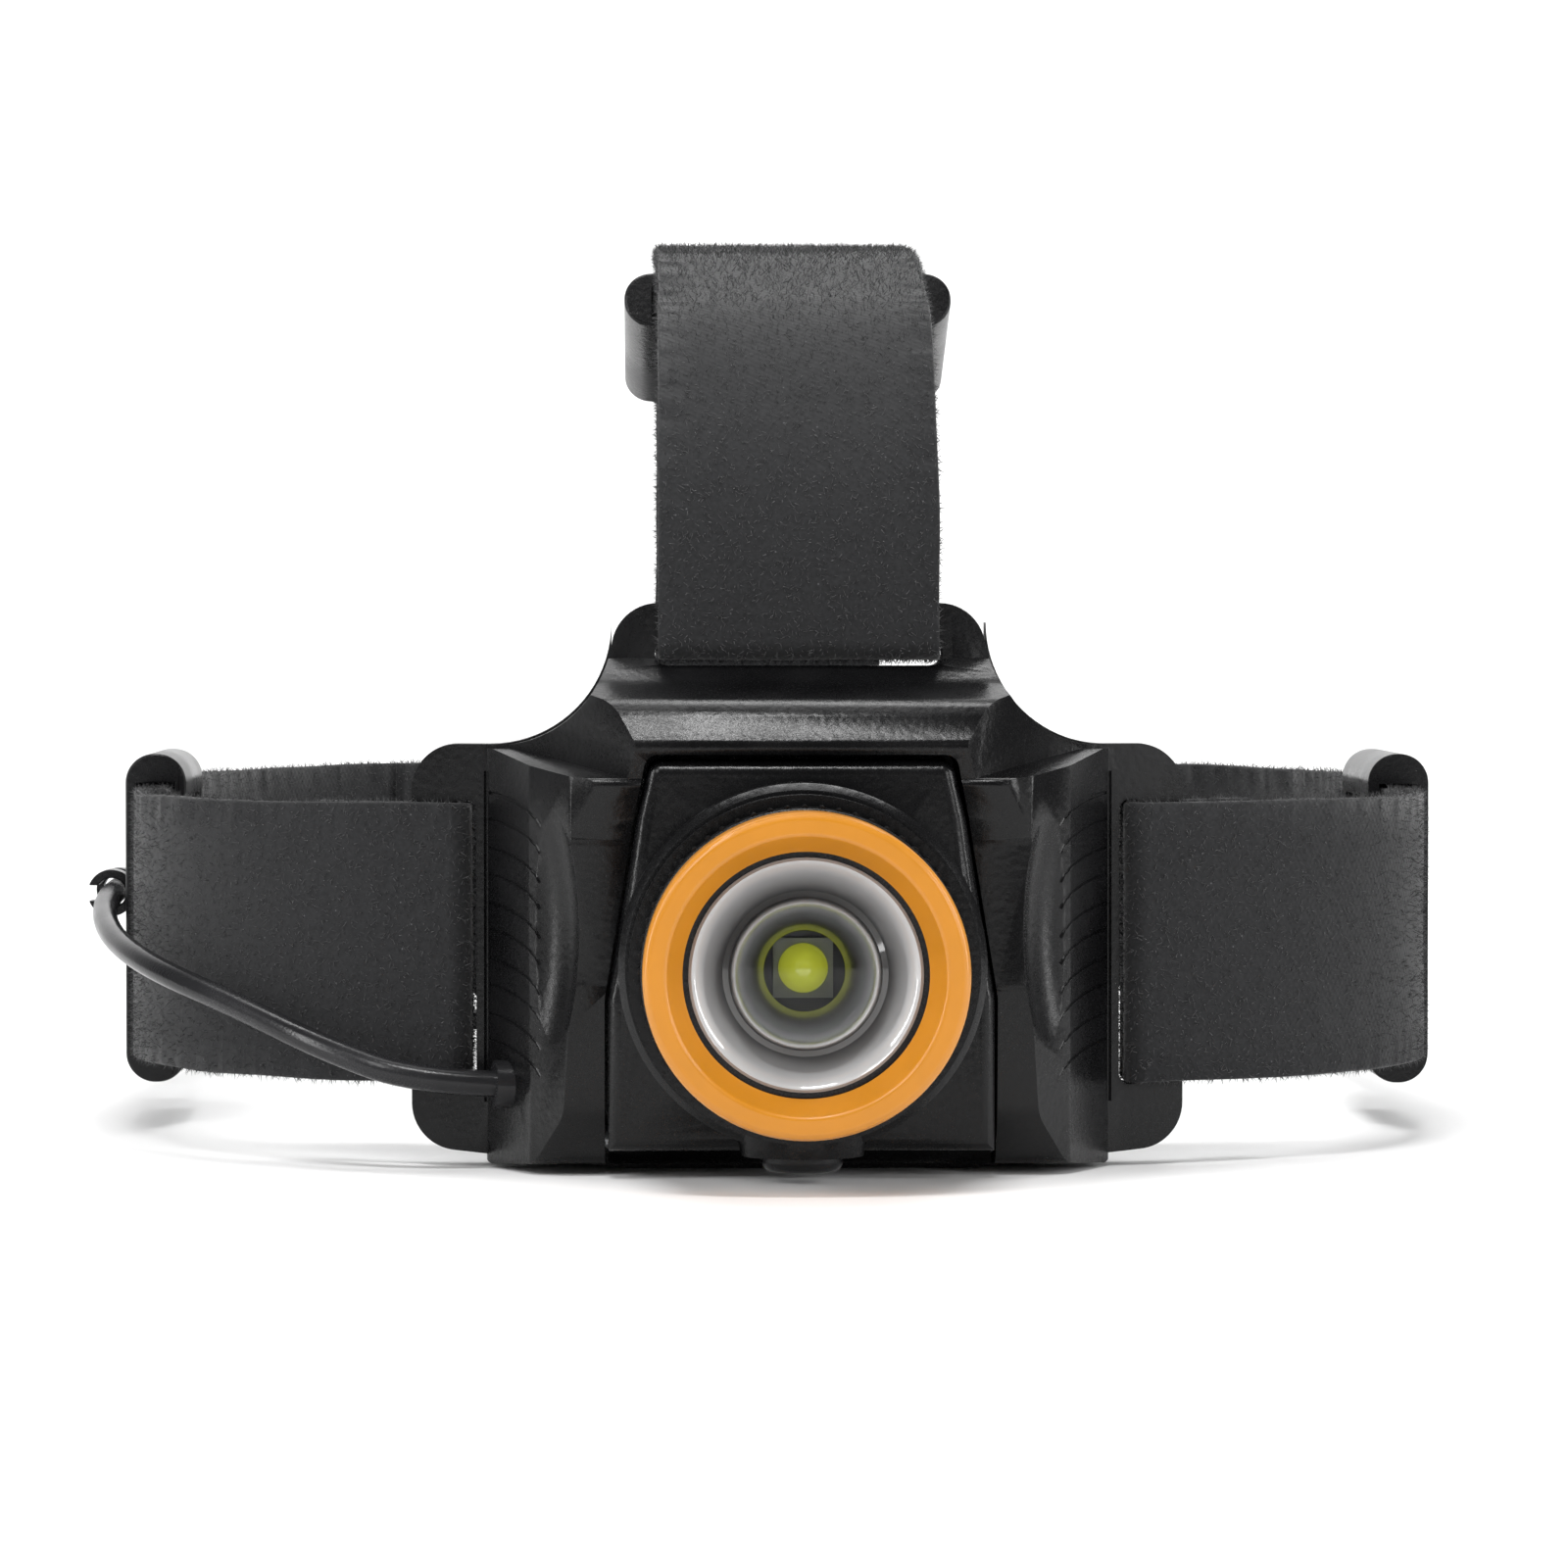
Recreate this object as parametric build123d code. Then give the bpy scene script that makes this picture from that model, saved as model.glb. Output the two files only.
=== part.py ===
from build123d import *
import math
import os

# A headlamp on an elastic head band: a moulded front bracket with a tilting, focusing lamp head,
# an over-head strap, three strap sliders and a battery case at the back of the band.
# Frame: X to the right as seen from the front, Y from front to back, Z up, millimetres.
# x = 0 is the symmetry plane, y = 0 is the front of the bracket's wings over their strap slots,
# and z = 0 is the underside of the bracket, level with the underside of the battery case.

# ---------------------------------------------------------------- driving dimensions
STRAP_W = 30.0            # width of the elastic
STRAP_T = 1.6             # thickness of the elastic
BAND_Z = 24.1             # height of the band's centre line
BAND_LEFT_X = 74.0        # distance of the band's left side from the symmetry plane
BAND_RIGHT_X = 71.5       # the same on the right side
LOOP_DEPTH = 184.0        # from the wings' front to the battery case's strap lugs

BRACKET_HALF_W = 41.5     # half the bracket's width
BRACKET_H = 60.5          # height of the bracket
NECK_HALF_W = 20.0        # half the width of the neck that carries the over-head strap
WING_TOP = 45.4           # height of the wings
FOREHEAD_R = 150.0        # plan radius of the bracket's front
SHELL_T = 5.0             # thickness of the bracket's wings and neck
BACK_PLATE_T = 2.4        # thickness of the back plate
FOREHEAD_PAD_T = 6.0      # thickness of the foam on the back plate
PLATE_TOP = 50.0          # height of the back plate
PAD_LOW = 3.0             # lowest edge of the foam
PAD_TOP = 46.0            # highest edge of the foam

SLOT_INNER_X = 34.5       # inner edge of each wing's strap slot
SLOT_W = 2.6              # width of each strap slot
NECK_SLOT_H = 2.8         # height of the over-head strap's slot
SLOT_END_GAP = 0.35       # room beyond each edge of the strap in its slot
STRAP_GAP = 0.3           # room between a strap and the bar it wraps

LAMP_Z = 22.6             # height of the lamp's optical axis
COLLAR_R = 19.2           # radius of the head's round collar
HEAD_HALF_W = 20.3        # half the width of the head between the cheeks
HEAD_TOP = 43.9           # height of the head's top
HEAD_GAP = 0.35           # gap between the head and the bracket around it
PIVOT_Y = -5.2            # tilt axis, front to back
PIVOT_Z = 3.4             # tilt axis, height
KNUCKLE_R = 2.6           # radius of the head's rounded rear edge about the tilt axis
PIN_R = 1.5               # hinge pin radius
RUNNING_GAP = 0.05        # radial clearance of a pin or a ring that turns

HEAD_FRONT_Y = -17.0      # front face of the head, behind the collar
COLLAR_FRONT_Y = -27.0    # front of the collar
RING_FRONT_Y = -40.0      # front of the focus ring
RING_BACK_Y = -33.1       # back of the focus ring, on the grip ring
RING_R = 16.7             # focus ring radius
GRIP_R = 16.9             # grip ring radius
BORE_R = 15.0             # bore of the head
BARREL_R = 13.95          # outside of the focus barrel
CARRIER_R = 12.9          # outside of the lens carrier
LENS_R = 12.0             # lens radius
LED_HALF = 3.1            # half the light source's square base
LED_DOME_R = 2.6          # radius of the light source's dome
LED_FRONT_Y = -22.8       # front of the square base
FOCUS_TRAVEL = 4.5        # how far the lens carrier slides

BUTTON_Y = -20.0          # power button axis, front to back
BUTTON_R = 4.25           # power button radius
BUTTON_LOW = 1.2          # lowest point of the button
BOSS_LOW = 2.9            # underside of the boss around the button
BUTTON_TRAVEL = 1.0       # how far the button goes in

CASE_HALF_W = 32.0        # battery case, half width
CASE_H = 41.0             # battery case height
CASE_DEPTH = 19.0         # battery case depth without its door
CASE_WALL = 2.0           # battery case wall
DOOR_T = 2.8              # battery door thickness
CELL_R = 5.2              # AAA cell radius
CELL_L = 44.0             # AAA cell length

CABLE_R = 1.4             # lamp cable radius
# The lead's route: out of the left cheek, up along the band, through the clip and down to the case.
CABLE_POINTS = [
    (-29.4, -4.0, 9.1),
    (-40.5, -6.2, 9.5),
    (-51.0, -0.8, 12.9),
    (-60.5, 8.0, 16.8),
    (-71.5, 20.5, 20.6),
    (-77.6, 40.5, 23.4),
    (-79.3, 61.0, 26.4),
    (-79.3, LOOP_DEPTH - 76.0, 26.4),
    (-77.8, LOOP_DEPTH - 53.0, 20.6),
    (-71.6, LOOP_DEPTH - 31.5, 12.6),
    (-60.0, LOOP_DEPTH - 13.5, 5.8),
    (-50.5, LOOP_DEPTH - 1.7, 4.4),
    (-41.5, LOOP_DEPTH + 4.6, 3.9),
    (-31.0, LOOP_DEPTH + 6.3, 3.8),
]

SLIDER_T = 7.0            # strap slider, thickness across the strap's faces
SLIDER_L = 28.0           # strap slider, length along the strap
SLIDER_W = 38.0           # strap slider, width across the strap
LAYER_PITCH = 2.0         # distance between the two strap layers in a slider
LEFT_SLIDER_Y = 70.0      # the left slider's place along the band
RIGHT_SLIDER_Y = 66.0     # the right slider's place along the band
TOP_SLIDER_EXTRA = 2.4    # how much wider the top slider is, all of it to the right
TOP_SLIDER_AT = 28.0      # the top slider's place along the strap behind the crown
TAIL_START_Y = 49.0       # front end of the left free end
TAIL_END_Y = 101.0        # rear end of both free ends
BAND_SLOPE = 1 / 3        # how steeply the band leaves the wings, back over sideways
CROWN_Z = 103.4           # height of the over-head strap's highest point
CROWN_DROP = 18.2         # how far its straight run behind the crown comes down

GLAND_R = 2.6             # bore for the cable sleeve in the left cheek
CABLE_GLAND_R = 2.3       # bore for the cable sleeve in the battery case
CABLE_SIDE = (-79.3, 26.4)   # the cable's place beside the left slider (x, z)
SCREW_R = 1.0             # thread radius of the small screws
SCREW_SINK = 1.6          # depth of the back plate's screw heads under its surface
PLATE_SCREWS = [(-26.0, 6.0), (26.0, 6.0), (-26.0, 40.0), (26.0, 40.0)]
COVER_SCREWS = [(-13.0, 9.2), (13.0, 9.2), (-13.0, 38.2), (13.0, 38.2)]

CHEEK_TOP = 42.0          # height of the cheeks' front corners, under the hood
SCOOP_R = 7.0             # radius of the hollow down each cheek's side
SCOOP_X = 30.0            # distance of the hollow's middle from the symmetry plane
SCOOP_Y = -17.5           # the hollow's middle, front to back
SCOOP_Z = 26.0            # height at which the hollow reaches furthest in
SCOOP_BOW_R = 41.2        # radius that the hollow bows to from top to bottom

DOOR_PIN_R = 0.8          # battery door hinge pin radius
HINGE_R = 1.9             # battery door knuckle radius
DOOR_GAP = 0.3            # gap round the battery door

# ---------------------------------------------------------------- derived places
BAND_LOW = BAND_Z - STRAP_W / 2
BAND_HIGH = BAND_Z + STRAP_W / 2
SLOT_MID_X = SLOT_INNER_X + SLOT_W / 2
PLAN_Y = math.sqrt(FOREHEAD_R ** 2 - (SLOT_INNER_X - 0.5) ** 2)
SHELL_BACK_R = FOREHEAD_R - SHELL_T
PLATE_BACK_R = SHELL_BACK_R - BACK_PLATE_T
PAD_BACK_R = PLATE_BACK_R - FOREHEAD_PAD_T
NECK_FRONT_Y = PLAN_Y - FOREHEAD_R
NECK_BACK_Y = PLAN_Y - SHELL_BACK_R
BAR_W = 3.9               # neck bar above the over-head strap's slot
NECK_SLOT_TOP = BRACKET_H - BAR_W
NECK_SLOT_LOW = NECK_SLOT_TOP - NECK_SLOT_H
POCKET_BACK_Y = PIVOT_Y + KNUCKLE_R + 0.4
HOOD_LOW = HEAD_TOP + 0.7
CASE_FRONT_Y = LOOP_DEPTH - 6.0
CASE_BACK_Y = CASE_FRONT_Y + CASE_DEPTH
LUG_FRONT_Y = LOOP_DEPTH - 4.0
LUG_BACK_Y = LOOP_DEPTH
LUG_OUT = 8.0             # how far a strap lug stands out of the case
LUG_BAR = 2.2             # strap lug bar
LUG_SLOT_W = 3.4          # strap lug slot
TOP_LUG_H = 11.0          # height of the lug on top of the case
CELL_Y = CASE_FRONT_Y + CASE_WALL + CELL_R + 2.0
CELL_PITCH = (CASE_H - 2 * CASE_WALL) / 3
COVER_BACK_Y = PIVOT_Y + KNUCKLE_R
CROWN = (LOOP_DEPTH * 0.522, CROWN_Z)
CROWN_SLOPE = (LOOP_DEPTH * 0.304, -CROWN_DROP)
DOOR_HINGE_X = CASE_HALF_W - 1.6
DOOR_HINGE_Y = CASE_BACK_Y + HINGE_R + DOOR_GAP
HINGE_LUGS = [(5.0, 10.0), (CASE_H - 10.0, CASE_H - 5.0)]
FRONT_BEND = 3            # the place of the band's front bend among its path's radii

# ---------------------------------------------------------------- helpers


def block(x0, x1, y0, y1, z0, z1):
    """A box between two opposite corners."""
    centre = Pos((x0 + x1) / 2, (y0 + y1) / 2, (z0 + z1) / 2)
    return centre * Box(x1 - x0, y1 - y0, z1 - z0)


def disc(radius, y_front, y_back, x=0.0, z=LAMP_Z):
    """A cylinder along Y, on the lamp's axis unless told otherwise."""
    return Pos(x, (y_front + y_back) / 2, z) * Rot(90, 0, 0) * Cylinder(radius, y_back - y_front)


def cone(r_front, r_back, y_front, y_back):
    """A truncated cone along the lamp's axis."""
    return Pos(0, (y_front + y_back) / 2, LAMP_Z) * Rot(90, 0, 0) * Cone(r_back, r_front, y_back - y_front)


def upright(radius, z_low, z_high, x, y):
    """A cylinder along Z."""
    return Pos(x, y, (z_low + z_high) / 2) * Cylinder(radius, z_high - z_low)


def outline(points, radii):
    """A closed flat shape with one corner radius for each point."""
    return make_face(FilletPolyline(*points, radius=radii, close=True))


def mirrored(half):
    """The points of a shape that is symmetric about x = 0, from its right half, bottom to top."""
    return half + [(-x, z) for x, z in reversed(half)]


def front_prism(face, y0, y1):
    """A shape drawn as seen from the front (x, z), between two depths."""
    return extrude(Plane.XZ.offset(-y1) * face, y1 - y0, dir=(0, -1, 0))


def plan_prism(face, z0, z1):
    """A shape drawn in plan (x, y), between two heights."""
    return extrude(Plane.XY.offset(z0) * face, z1 - z0, dir=(0, 0, 1))


def side_prism(face, x0, x1):
    """A shape drawn as seen from the side (y, z), between two widths."""
    return extrude(Plane.YZ.offset(x0) * face, x1 - x0, dir=(1, 0, 0))


def bent_sheet(front_r, back_r, z0, z1):
    """A sheet that follows the forehead's curve in plan."""
    ring = Circle(front_r) - Circle(back_r)
    return plan_prism(Pos(0, PLAN_Y) * ring, z0, z1) & block(-80, 80, -20, 40, z0, z1)


def edge_of(points, distance):
    """The corners of a path moved sideways by a distance, to its left if that is positive."""
    runs = [(Vector(*b) - Vector(*a)).normalized() for a, b in zip(points, points[1:])]
    moved = []
    for i, point in enumerate(points):
        before = runs[max(i - 1, 0)]
        after = runs[min(i, len(runs) - 1)]
        normal = Vector(-before.Y - after.Y, before.X + after.X).normalized()
        stretch = distance / math.cos(math.radians(before.get_angle(after) / 2))
        moved.append((point[0] + normal.X * stretch, point[1] + normal.Y * stretch))
    return moved


def strip(points, radii):
    """The flat shape of a strap seen edge on, along a path of straight runs and arcs."""
    half = STRAP_T / 2
    left_radii = []
    right_radii = []
    for before, corner, after, radius in zip(points, points[1:], points[2:], radii):
        run_in = Vector(*corner) - Vector(*before)
        run_out = Vector(*after) - Vector(*corner)
        turn = 1 if run_in.cross(run_out).Z > 0 else -1
        left_radii.append(radius - turn * half)
        right_radii.append(radius + turn * half)
    corners = edge_of(points, half) + edge_of(points, -half)[::-1]
    end = 0.3
    return outline(corners, [end] + left_radii + [end, end] + right_radii[::-1] + [end])


# ---------------------------------------------------------------- front bracket


def bracket_outline(inset=0.0):
    """The bracket's outline from the front: wide wings with a neck rising from their middle."""
    half = [
        (17.8, 0.0),
        (BRACKET_HALF_W - inset, 2.2),
        (BRACKET_HALF_W - inset, WING_TOP - inset),
        (NECK_HALF_W - inset, WING_TOP - inset),
        (NECK_HALF_W - inset, BRACKET_H - inset),
    ]
    radii = [6.0, 5.0, 5.0, 13.0, 5.0]
    return outline(mirrored(half), radii + radii[::-1])


def hump_plan(points, radii):
    """The hump's shape from above, from the right half of its front."""
    return outline([(-x, y) for x, y in points] + points[::-1], radii + radii[::-1])


def cheeks():
    """The two faceted cheeks beside the head, each with a bowed hollow down its side."""
    plan = hump_plan(
        [(33.5, 1.0), (33.3, -0.2), (28.6, -10.0), (24.3, -15.4), (19.0, -18.2)],
        [0.3, 1.2, 2.0, 1.5, 3.0],
    )
    profile = outline(
        [(-10.5, 1.2), (-14.5, 6.5), (-15.6, 20.0), (-15.4, 36.0), (-17.0, CHEEK_TOP),
         (-1.5, WING_TOP - 0.5), (NECK_BACK_Y - 0.7, WING_TOP - 0.5), (NECK_BACK_Y - 0.7, 0.3)],
        [2.5, 4.0, 8.0, 8.0, 0.8, 2.0, 0.3, 0.3],
    )
    body = plan_prism(plan, 0, 57) & side_prism(profile, -34, 34)
    for side in (-1, 1):
        middle = Pos(side * (SCOOP_X + SCOOP_BOW_R), SCOOP_Y, SCOOP_Z)
        body -= middle * Rot(90, 0, 0) * Torus(SCOOP_BOW_R, SCOOP_R)
    return body


def hood():
    """The hood over the head, which runs up into the neck."""
    plan = hump_plan(
        [(32.0, 1.0), (31.0, -0.8), (26.5, -6.0), (16.8, -18.2)],
        [0.3, 2.0, 12.0, 2.0],
    )
    profile = outline(
        [(-15.0, 38.0), (-17.6, 45.6), (-14.5, 50.0), (-7.0, 52.0), (NECK_FRONT_Y + 0.9, 54.6),
         (NECK_BACK_Y - 0.7, 54.6), (NECK_BACK_Y - 0.7, 38.0)],
        [0.5, 1.5, 5.0, 6.0, 0.3, 0.3, 0.3],
    )
    return plan_prism(plan, 30, 57) & side_prism(profile, -34, 34)


def hump():
    """The raised middle of the bracket, kept inside the bracket's outline."""
    half = [
        (33.6, 0.4),
        (33.6, WING_TOP - 0.2),
        (NECK_HALF_W - 0.2, WING_TOP - 0.2),
        (NECK_HALF_W - 0.2, BRACKET_H - 0.5),
    ]
    radii = [1.0, 0.4, 13.0, 1.0]
    limit = outline(mirrored(half), radii + radii[::-1])
    return (cheeks() + hood()) & front_prism(limit, -30, 10)


def head_outline(gap=0.0, top=HEAD_TOP):
    """The head's outline between the cheeks: widest low down and narrower towards the hood."""
    half = [
        (HEAD_HALF_W + gap, PIVOT_Z - KNUCKLE_R),
        (HEAD_HALF_W + gap, 19.0),
        (HEAD_HALF_W + gap - 3.1, 38.0),
        (HEAD_HALF_W + gap - 4.4, top),
    ]
    radii = [0.6, 6.0, 6.0, 1.5]
    return outline(mirrored(half), radii + radii[::-1])


def strap_slot(x0, x1, z0, z1):
    """A rounded opening through the bracket from front to back."""
    r = min(x1 - x0, z1 - z0) / 2 - 0.1
    return front_prism(outline([(x0, z0), (x1, z0), (x1, z1), (x0, z1)], [r] * 4), -20, 30)


def bracket_shell():
    """The moulded front bracket with its strap slots and the pocket that the head tilts in."""
    plate = front_prism(bracket_outline(), -20, 25) & bent_sheet(FOREHEAD_R, SHELL_BACK_R, 0, BRACKET_H)
    body = plate + hump()
    pocket = front_prism(head_outline(HEAD_GAP, HOOD_LOW), -40, POCKET_BACK_Y)
    pocket += block(-HEAD_HALF_W - HEAD_GAP, HEAD_HALF_W + HEAD_GAP, -40, POCKET_BACK_Y, -2, PIVOT_Z)
    body -= pocket
    z0 = BAND_LOW - SLOT_END_GAP
    z1 = BAND_HIGH + SLOT_END_GAP
    for side in (-1, 1):
        xs = sorted((side * SLOT_INNER_X, side * (SLOT_INNER_X + SLOT_W)))
        body -= strap_slot(xs[0], xs[1], z0, z1)
        body -= pin(side, PIN_R)
    half = STRAP_W / 2 + SLOT_END_GAP
    body -= strap_slot(-half, half, NECK_SLOT_LOW, NECK_SLOT_TOP)
    body -= gland_axis() * Cylinder(GLAND_R, 16)
    for x, z in PLATE_SCREWS:
        body -= disc(SCREW_R, -1.6, 6.0, x, z)
    return body


def gland_axis():
    """The place and direction of the cable's way out of the left cheek."""
    start = Vector(*CABLE_POINTS[0])
    return Plane(origin=start, z_dir=Vector(*CABLE_POINTS[1]) - start).location * Pos(0, 0, 0.5)


def pin(side, radius):
    """One stub of the tilt hinge: from the cheek into the head."""
    return Pos(side * 19.6, PIVOT_Y, PIVOT_Z) * Rot(0, 90, 0) * Cylinder(radius, 7.0)


def cable_gland():
    """A sleeve in the left cheek's bore, with the cable's own size inside."""
    sleeve = Cylinder(GLAND_R, 5.0) - Cylinder(CABLE_R, 8.0)
    return gland_axis() * Pos(0, 0, 0.2) * sleeve


def back_plate():
    """The plate that closes the bracket's back between the strap slots."""
    half = [
        (SLOT_INNER_X - 1.0, 0.0),
        (SLOT_INNER_X - 1.0, WING_TOP - 0.8),
        (NECK_HALF_W - 0.8, WING_TOP - 0.8),
        (NECK_HALF_W - 0.8, PLATE_TOP),
    ]
    radii = [4.0, 4.0, 3.5, 2.0]
    face = outline(mirrored(half), radii + radii[::-1])
    plate = front_prism(face, -20, 25) & bent_sheet(SHELL_BACK_R, PLATE_BACK_R, 0, PLATE_TOP)
    for x, z in PLATE_SCREWS:
        plate -= disc(1.15, -5, 12, x, z)
        plate -= disc(2.0, plate_back_y(x) - SCREW_SINK, 12, x, z)
    return plate


def plate_back_y(x):
    """How far back the back plate's rear face is at a given x."""
    return PLAN_Y - math.sqrt(PLATE_BACK_R ** 2 - x ** 2)


def small_screw(x, z, y_head, length, head_r=1.8, head_t=0.9):
    """A pan-head screw that goes in towards the front."""
    head = disc(head_r, y_head, y_head + head_t, x, z)
    cross = block(x - 1.1, x + 1.1, y_head + 0.45, y_head + 2, z - 0.2, z + 0.2)
    cross += block(x - 0.2, x + 0.2, y_head + 0.45, y_head + 2, z - 1.1, z + 1.1)
    return head - cross + disc(SCREW_R - 0.05, y_head - length, y_head, x, z)


def back_plate_screws():
    """Four screws that hold the back plate."""
    return Compound([small_screw(x, z, plate_back_y(x) - SCREW_SINK, 3.2) for x, z in PLATE_SCREWS])


def forehead_pad():
    """The foam that lies on the forehead."""
    half_w = SLOT_INNER_X - 3.0
    corners = [(-half_w, PAD_LOW), (half_w, PAD_LOW), (half_w, PAD_TOP), (-half_w, PAD_TOP)]
    face = outline(corners, [6.0, 6.0, 12.0, 12.0])
    return front_prism(face, -20, 40) & bent_sheet(PLATE_BACK_R - 0.05, PAD_BACK_R, PAD_LOW, PAD_TOP)


def hinge_pins():
    """Two stub pins, pressed into the cheeks, that the head turns on."""
    return Compound([pin(-1, PIN_R), pin(1, PIN_R)])


# ---------------------------------------------------------------- tilting head


def head_body():
    """The head's outer shape: block, rounded rear edge, round collar and button boss."""
    front = HEAD_FRONT_Y
    body = front_prism(head_outline(), front, PIVOT_Y + KNUCKLE_R)
    body -= block(-30, 30, front - 1, PIVOT_Y, -5, 3.0)
    body -= block(-30, 30, PIVOT_Y - 1, 5, -5, PIVOT_Z)
    body = fillet(body.faces().sort_by(Axis.Y)[0].edges(), 1.4)
    knuckle = Pos(0, PIVOT_Y, PIVOT_Z) * Rot(0, 90, 0) * Cylinder(KNUCKLE_R, 2 * HEAD_HALF_W)
    body += knuckle
    body += disc(COLLAR_R, front - 5.6, front + 2)
    body += cone(COLLAR_R - 0.7, COLLAR_R, front - 6.3, front - 5.6)
    body += disc(COLLAR_R - 1.1, COLLAR_FRONT_Y, front)
    boss = Pos(0, BUTTON_Y, (BOSS_LOW + 8) / 2) * Cone(6.4, 7.5, 8 - BOSS_LOW)
    return body + (boss & block(-9, 9, COLLAR_FRONT_Y + 0.6, -12, 0, 9))


def head_housing():
    """The head's moulding with its bore, rear recess, pin bores and button hole."""
    body = head_body()
    body -= disc(BORE_R, COLLAR_FRONT_Y - 2, PIVOT_Y + 0.8)
    body -= block(-15.2, 15.2, PIVOT_Y + 0.8, 0, 7.2, 40.2)
    body -= upright(BUTTON_R + 0.25, 0, 9, 0, BUTTON_Y)
    body -= upright(BUTTON_R + 1.35, BOSS_LOW + 2.5, 9.5, 0, BUTTON_Y)
    for side in (-1, 1):
        body -= pin(side, PIN_R + RUNNING_GAP)
        body -= Pos(side * 18.1, PIVOT_Y, PIVOT_Z) * Rot(0, 90, 0) * Cylinder(PIN_R + RUNNING_GAP, 4.6)
    for x, z in COVER_SCREWS:
        body -= disc(SCREW_R, -9.5, -2, x, z)
    return body


def head_cover():
    """The plate that closes the back of the head."""
    plate = block(-15.1, 15.1, COVER_BACK_Y - 1.4, COVER_BACK_Y, 7.3, 40.1)
    for x, z in COVER_SCREWS:
        plate -= disc(1.15, -6, 0, x, z)
        plate -= disc(1.9, COVER_BACK_Y - 0.9, 0, x, z)
    return plate


def cover_gasket():
    """The flat seal between the head and its cover."""
    sheet = block(-15.1, 15.1, PIVOT_Y + 0.8, COVER_BACK_Y - 1.4, 7.3, 40.1)
    for x, z in COVER_SCREWS:
        sheet -= disc(1.15, -6, 0, x, z)
    return sheet - disc(13.6, -8, 0)


def head_cover_screws():
    """Four screws that hold the head's cover, sunk flush with it."""
    screws = [small_screw(x, z, COVER_BACK_Y - 0.9, 5.0, head_t=0.8) for x, z in COVER_SCREWS]
    return Compound(screws)


def focus_barrel():
    """The fixed tube that the focus ring turns on and the lens carrier slides in."""
    flange = disc(BORE_R, COLLAR_FRONT_Y, -23.6)
    tube = disc(BARREL_R, -36.0, -23.6)
    return flange + tube - disc(CARRIER_R + 0.1, -40, -20)


def heat_sink():
    """The finned disc behind the lamp."""
    body = disc(10.8, -20.5, -12.0) + disc(BORE_R - 0.1, -13.6, -12.0)
    for i in range(3):
        y = -19.3 + 2.0 * i
        body -= disc(12.0, y, y + 0.9) - disc(7.0, y - 1, y + 2)
    return body


def led_board():
    """The round board that carries the lamp."""
    return disc(10.0, -22.0, -20.5)


def led_package():
    """The square base of the light source."""
    return block(-LED_HALF, LED_HALF, LED_FRONT_Y, -22.0, LAMP_Z - LED_HALF, LAMP_Z + LED_HALF)


def led_dome():
    """The small clear dome on the light source."""
    ball = Pos(0, LED_FRONT_Y, LAMP_Z) * Sphere(LED_DOME_R)
    return ball & block(-LED_HALF, LED_HALF, -26, LED_FRONT_Y, LAMP_Z - LED_HALF, LAMP_Z + LED_HALF)


def driver_board():
    """The control electronics' round board."""
    board = disc(14.4, -9.6, -8.4)
    chips = block(-6, -1, -8.4, -7.0, LAMP_Z - 2, LAMP_Z + 3)
    return board + chips + block(3, 7, -8.4, -6.8, LAMP_Z + 2, LAMP_Z + 6)


def switch_board():
    """The small board over the power button."""
    return block(-4.5, 4.5, BUTTON_Y - 2.4, BUTTON_Y + 3.4, 10.3, 11.0)


def tact_switch():
    """The switch that the power button presses."""
    return block(-2.25, 2.25, BUTTON_Y - 2.25, BUTTON_Y + 2.25, 9.1, 10.3)


def power_button():
    """The round button under the head, with a flange inside and a short plunger."""
    low = BUTTON_LOW
    cap = upright(BUTTON_R, low, BOSS_LOW + 2.7, 0, BUTTON_Y)
    cap = fillet(cap.edges().sort_by(Axis.Z)[0], 1.1)
    cap += upright(BUTTON_R + 1.0, BOSS_LOW + 2.7, BOSS_LOW + 3.5, 0, BUTTON_Y)
    return cap + upright(1.2, BOSS_LOW + 3.5, BOSS_LOW + 4.9, 0, BUTTON_Y)


# ---------------------------------------------------------------- focus group


def focus_ring():
    """The bright ring that is turned to focus, with a cone inside its front."""
    body = disc(RING_R, RING_FRONT_Y + 0.5, RING_BACK_Y) + cone(RING_R - 0.5, RING_R, RING_FRONT_Y, RING_FRONT_Y + 0.5)
    lip_y = RING_FRONT_Y + 3.1
    body -= cone(14.3, LENS_R + 0.6, RING_FRONT_Y, lip_y)
    body -= disc(LENS_R + 0.6, lip_y - 0.01, lip_y + 2)
    return body - disc(BARREL_R + 0.08, lip_y + 0.6, RING_BACK_Y + 2)


def grip_ring():
    """The ribbed grip behind the focus ring."""
    body = disc(GRIP_R, RING_BACK_Y, COLLAR_FRONT_Y - 0.4)
    return body - disc(BARREL_R + 0.08, RING_BACK_Y - 1, COLLAR_FRONT_Y + 1)


def lens_carrier():
    """The sleeve that holds the lens and slides in the barrel."""
    body = disc(CARRIER_R, -35.9, -27.2) - disc(LENS_R, -40, -30.0)
    return body - disc(LENS_R - 1.0, -40, -20)


def lens():
    """A clear lens with a flat front, a conical back and a pocket for the light source."""
    body = disc(LENS_R, -36.6, -34.6) + cone(LENS_R - 0.4, 7.6, -34.6, -28.4)
    return body - cone(3.6, 4.2, -32.4, -28.4)


def lens_retainer():
    """The ring that keeps the lens in its carrier."""
    return disc(LENS_R, -33.4, -32.4) - disc(LENS_R - 0.9, -36, -30)


# ---------------------------------------------------------------- straps


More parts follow.
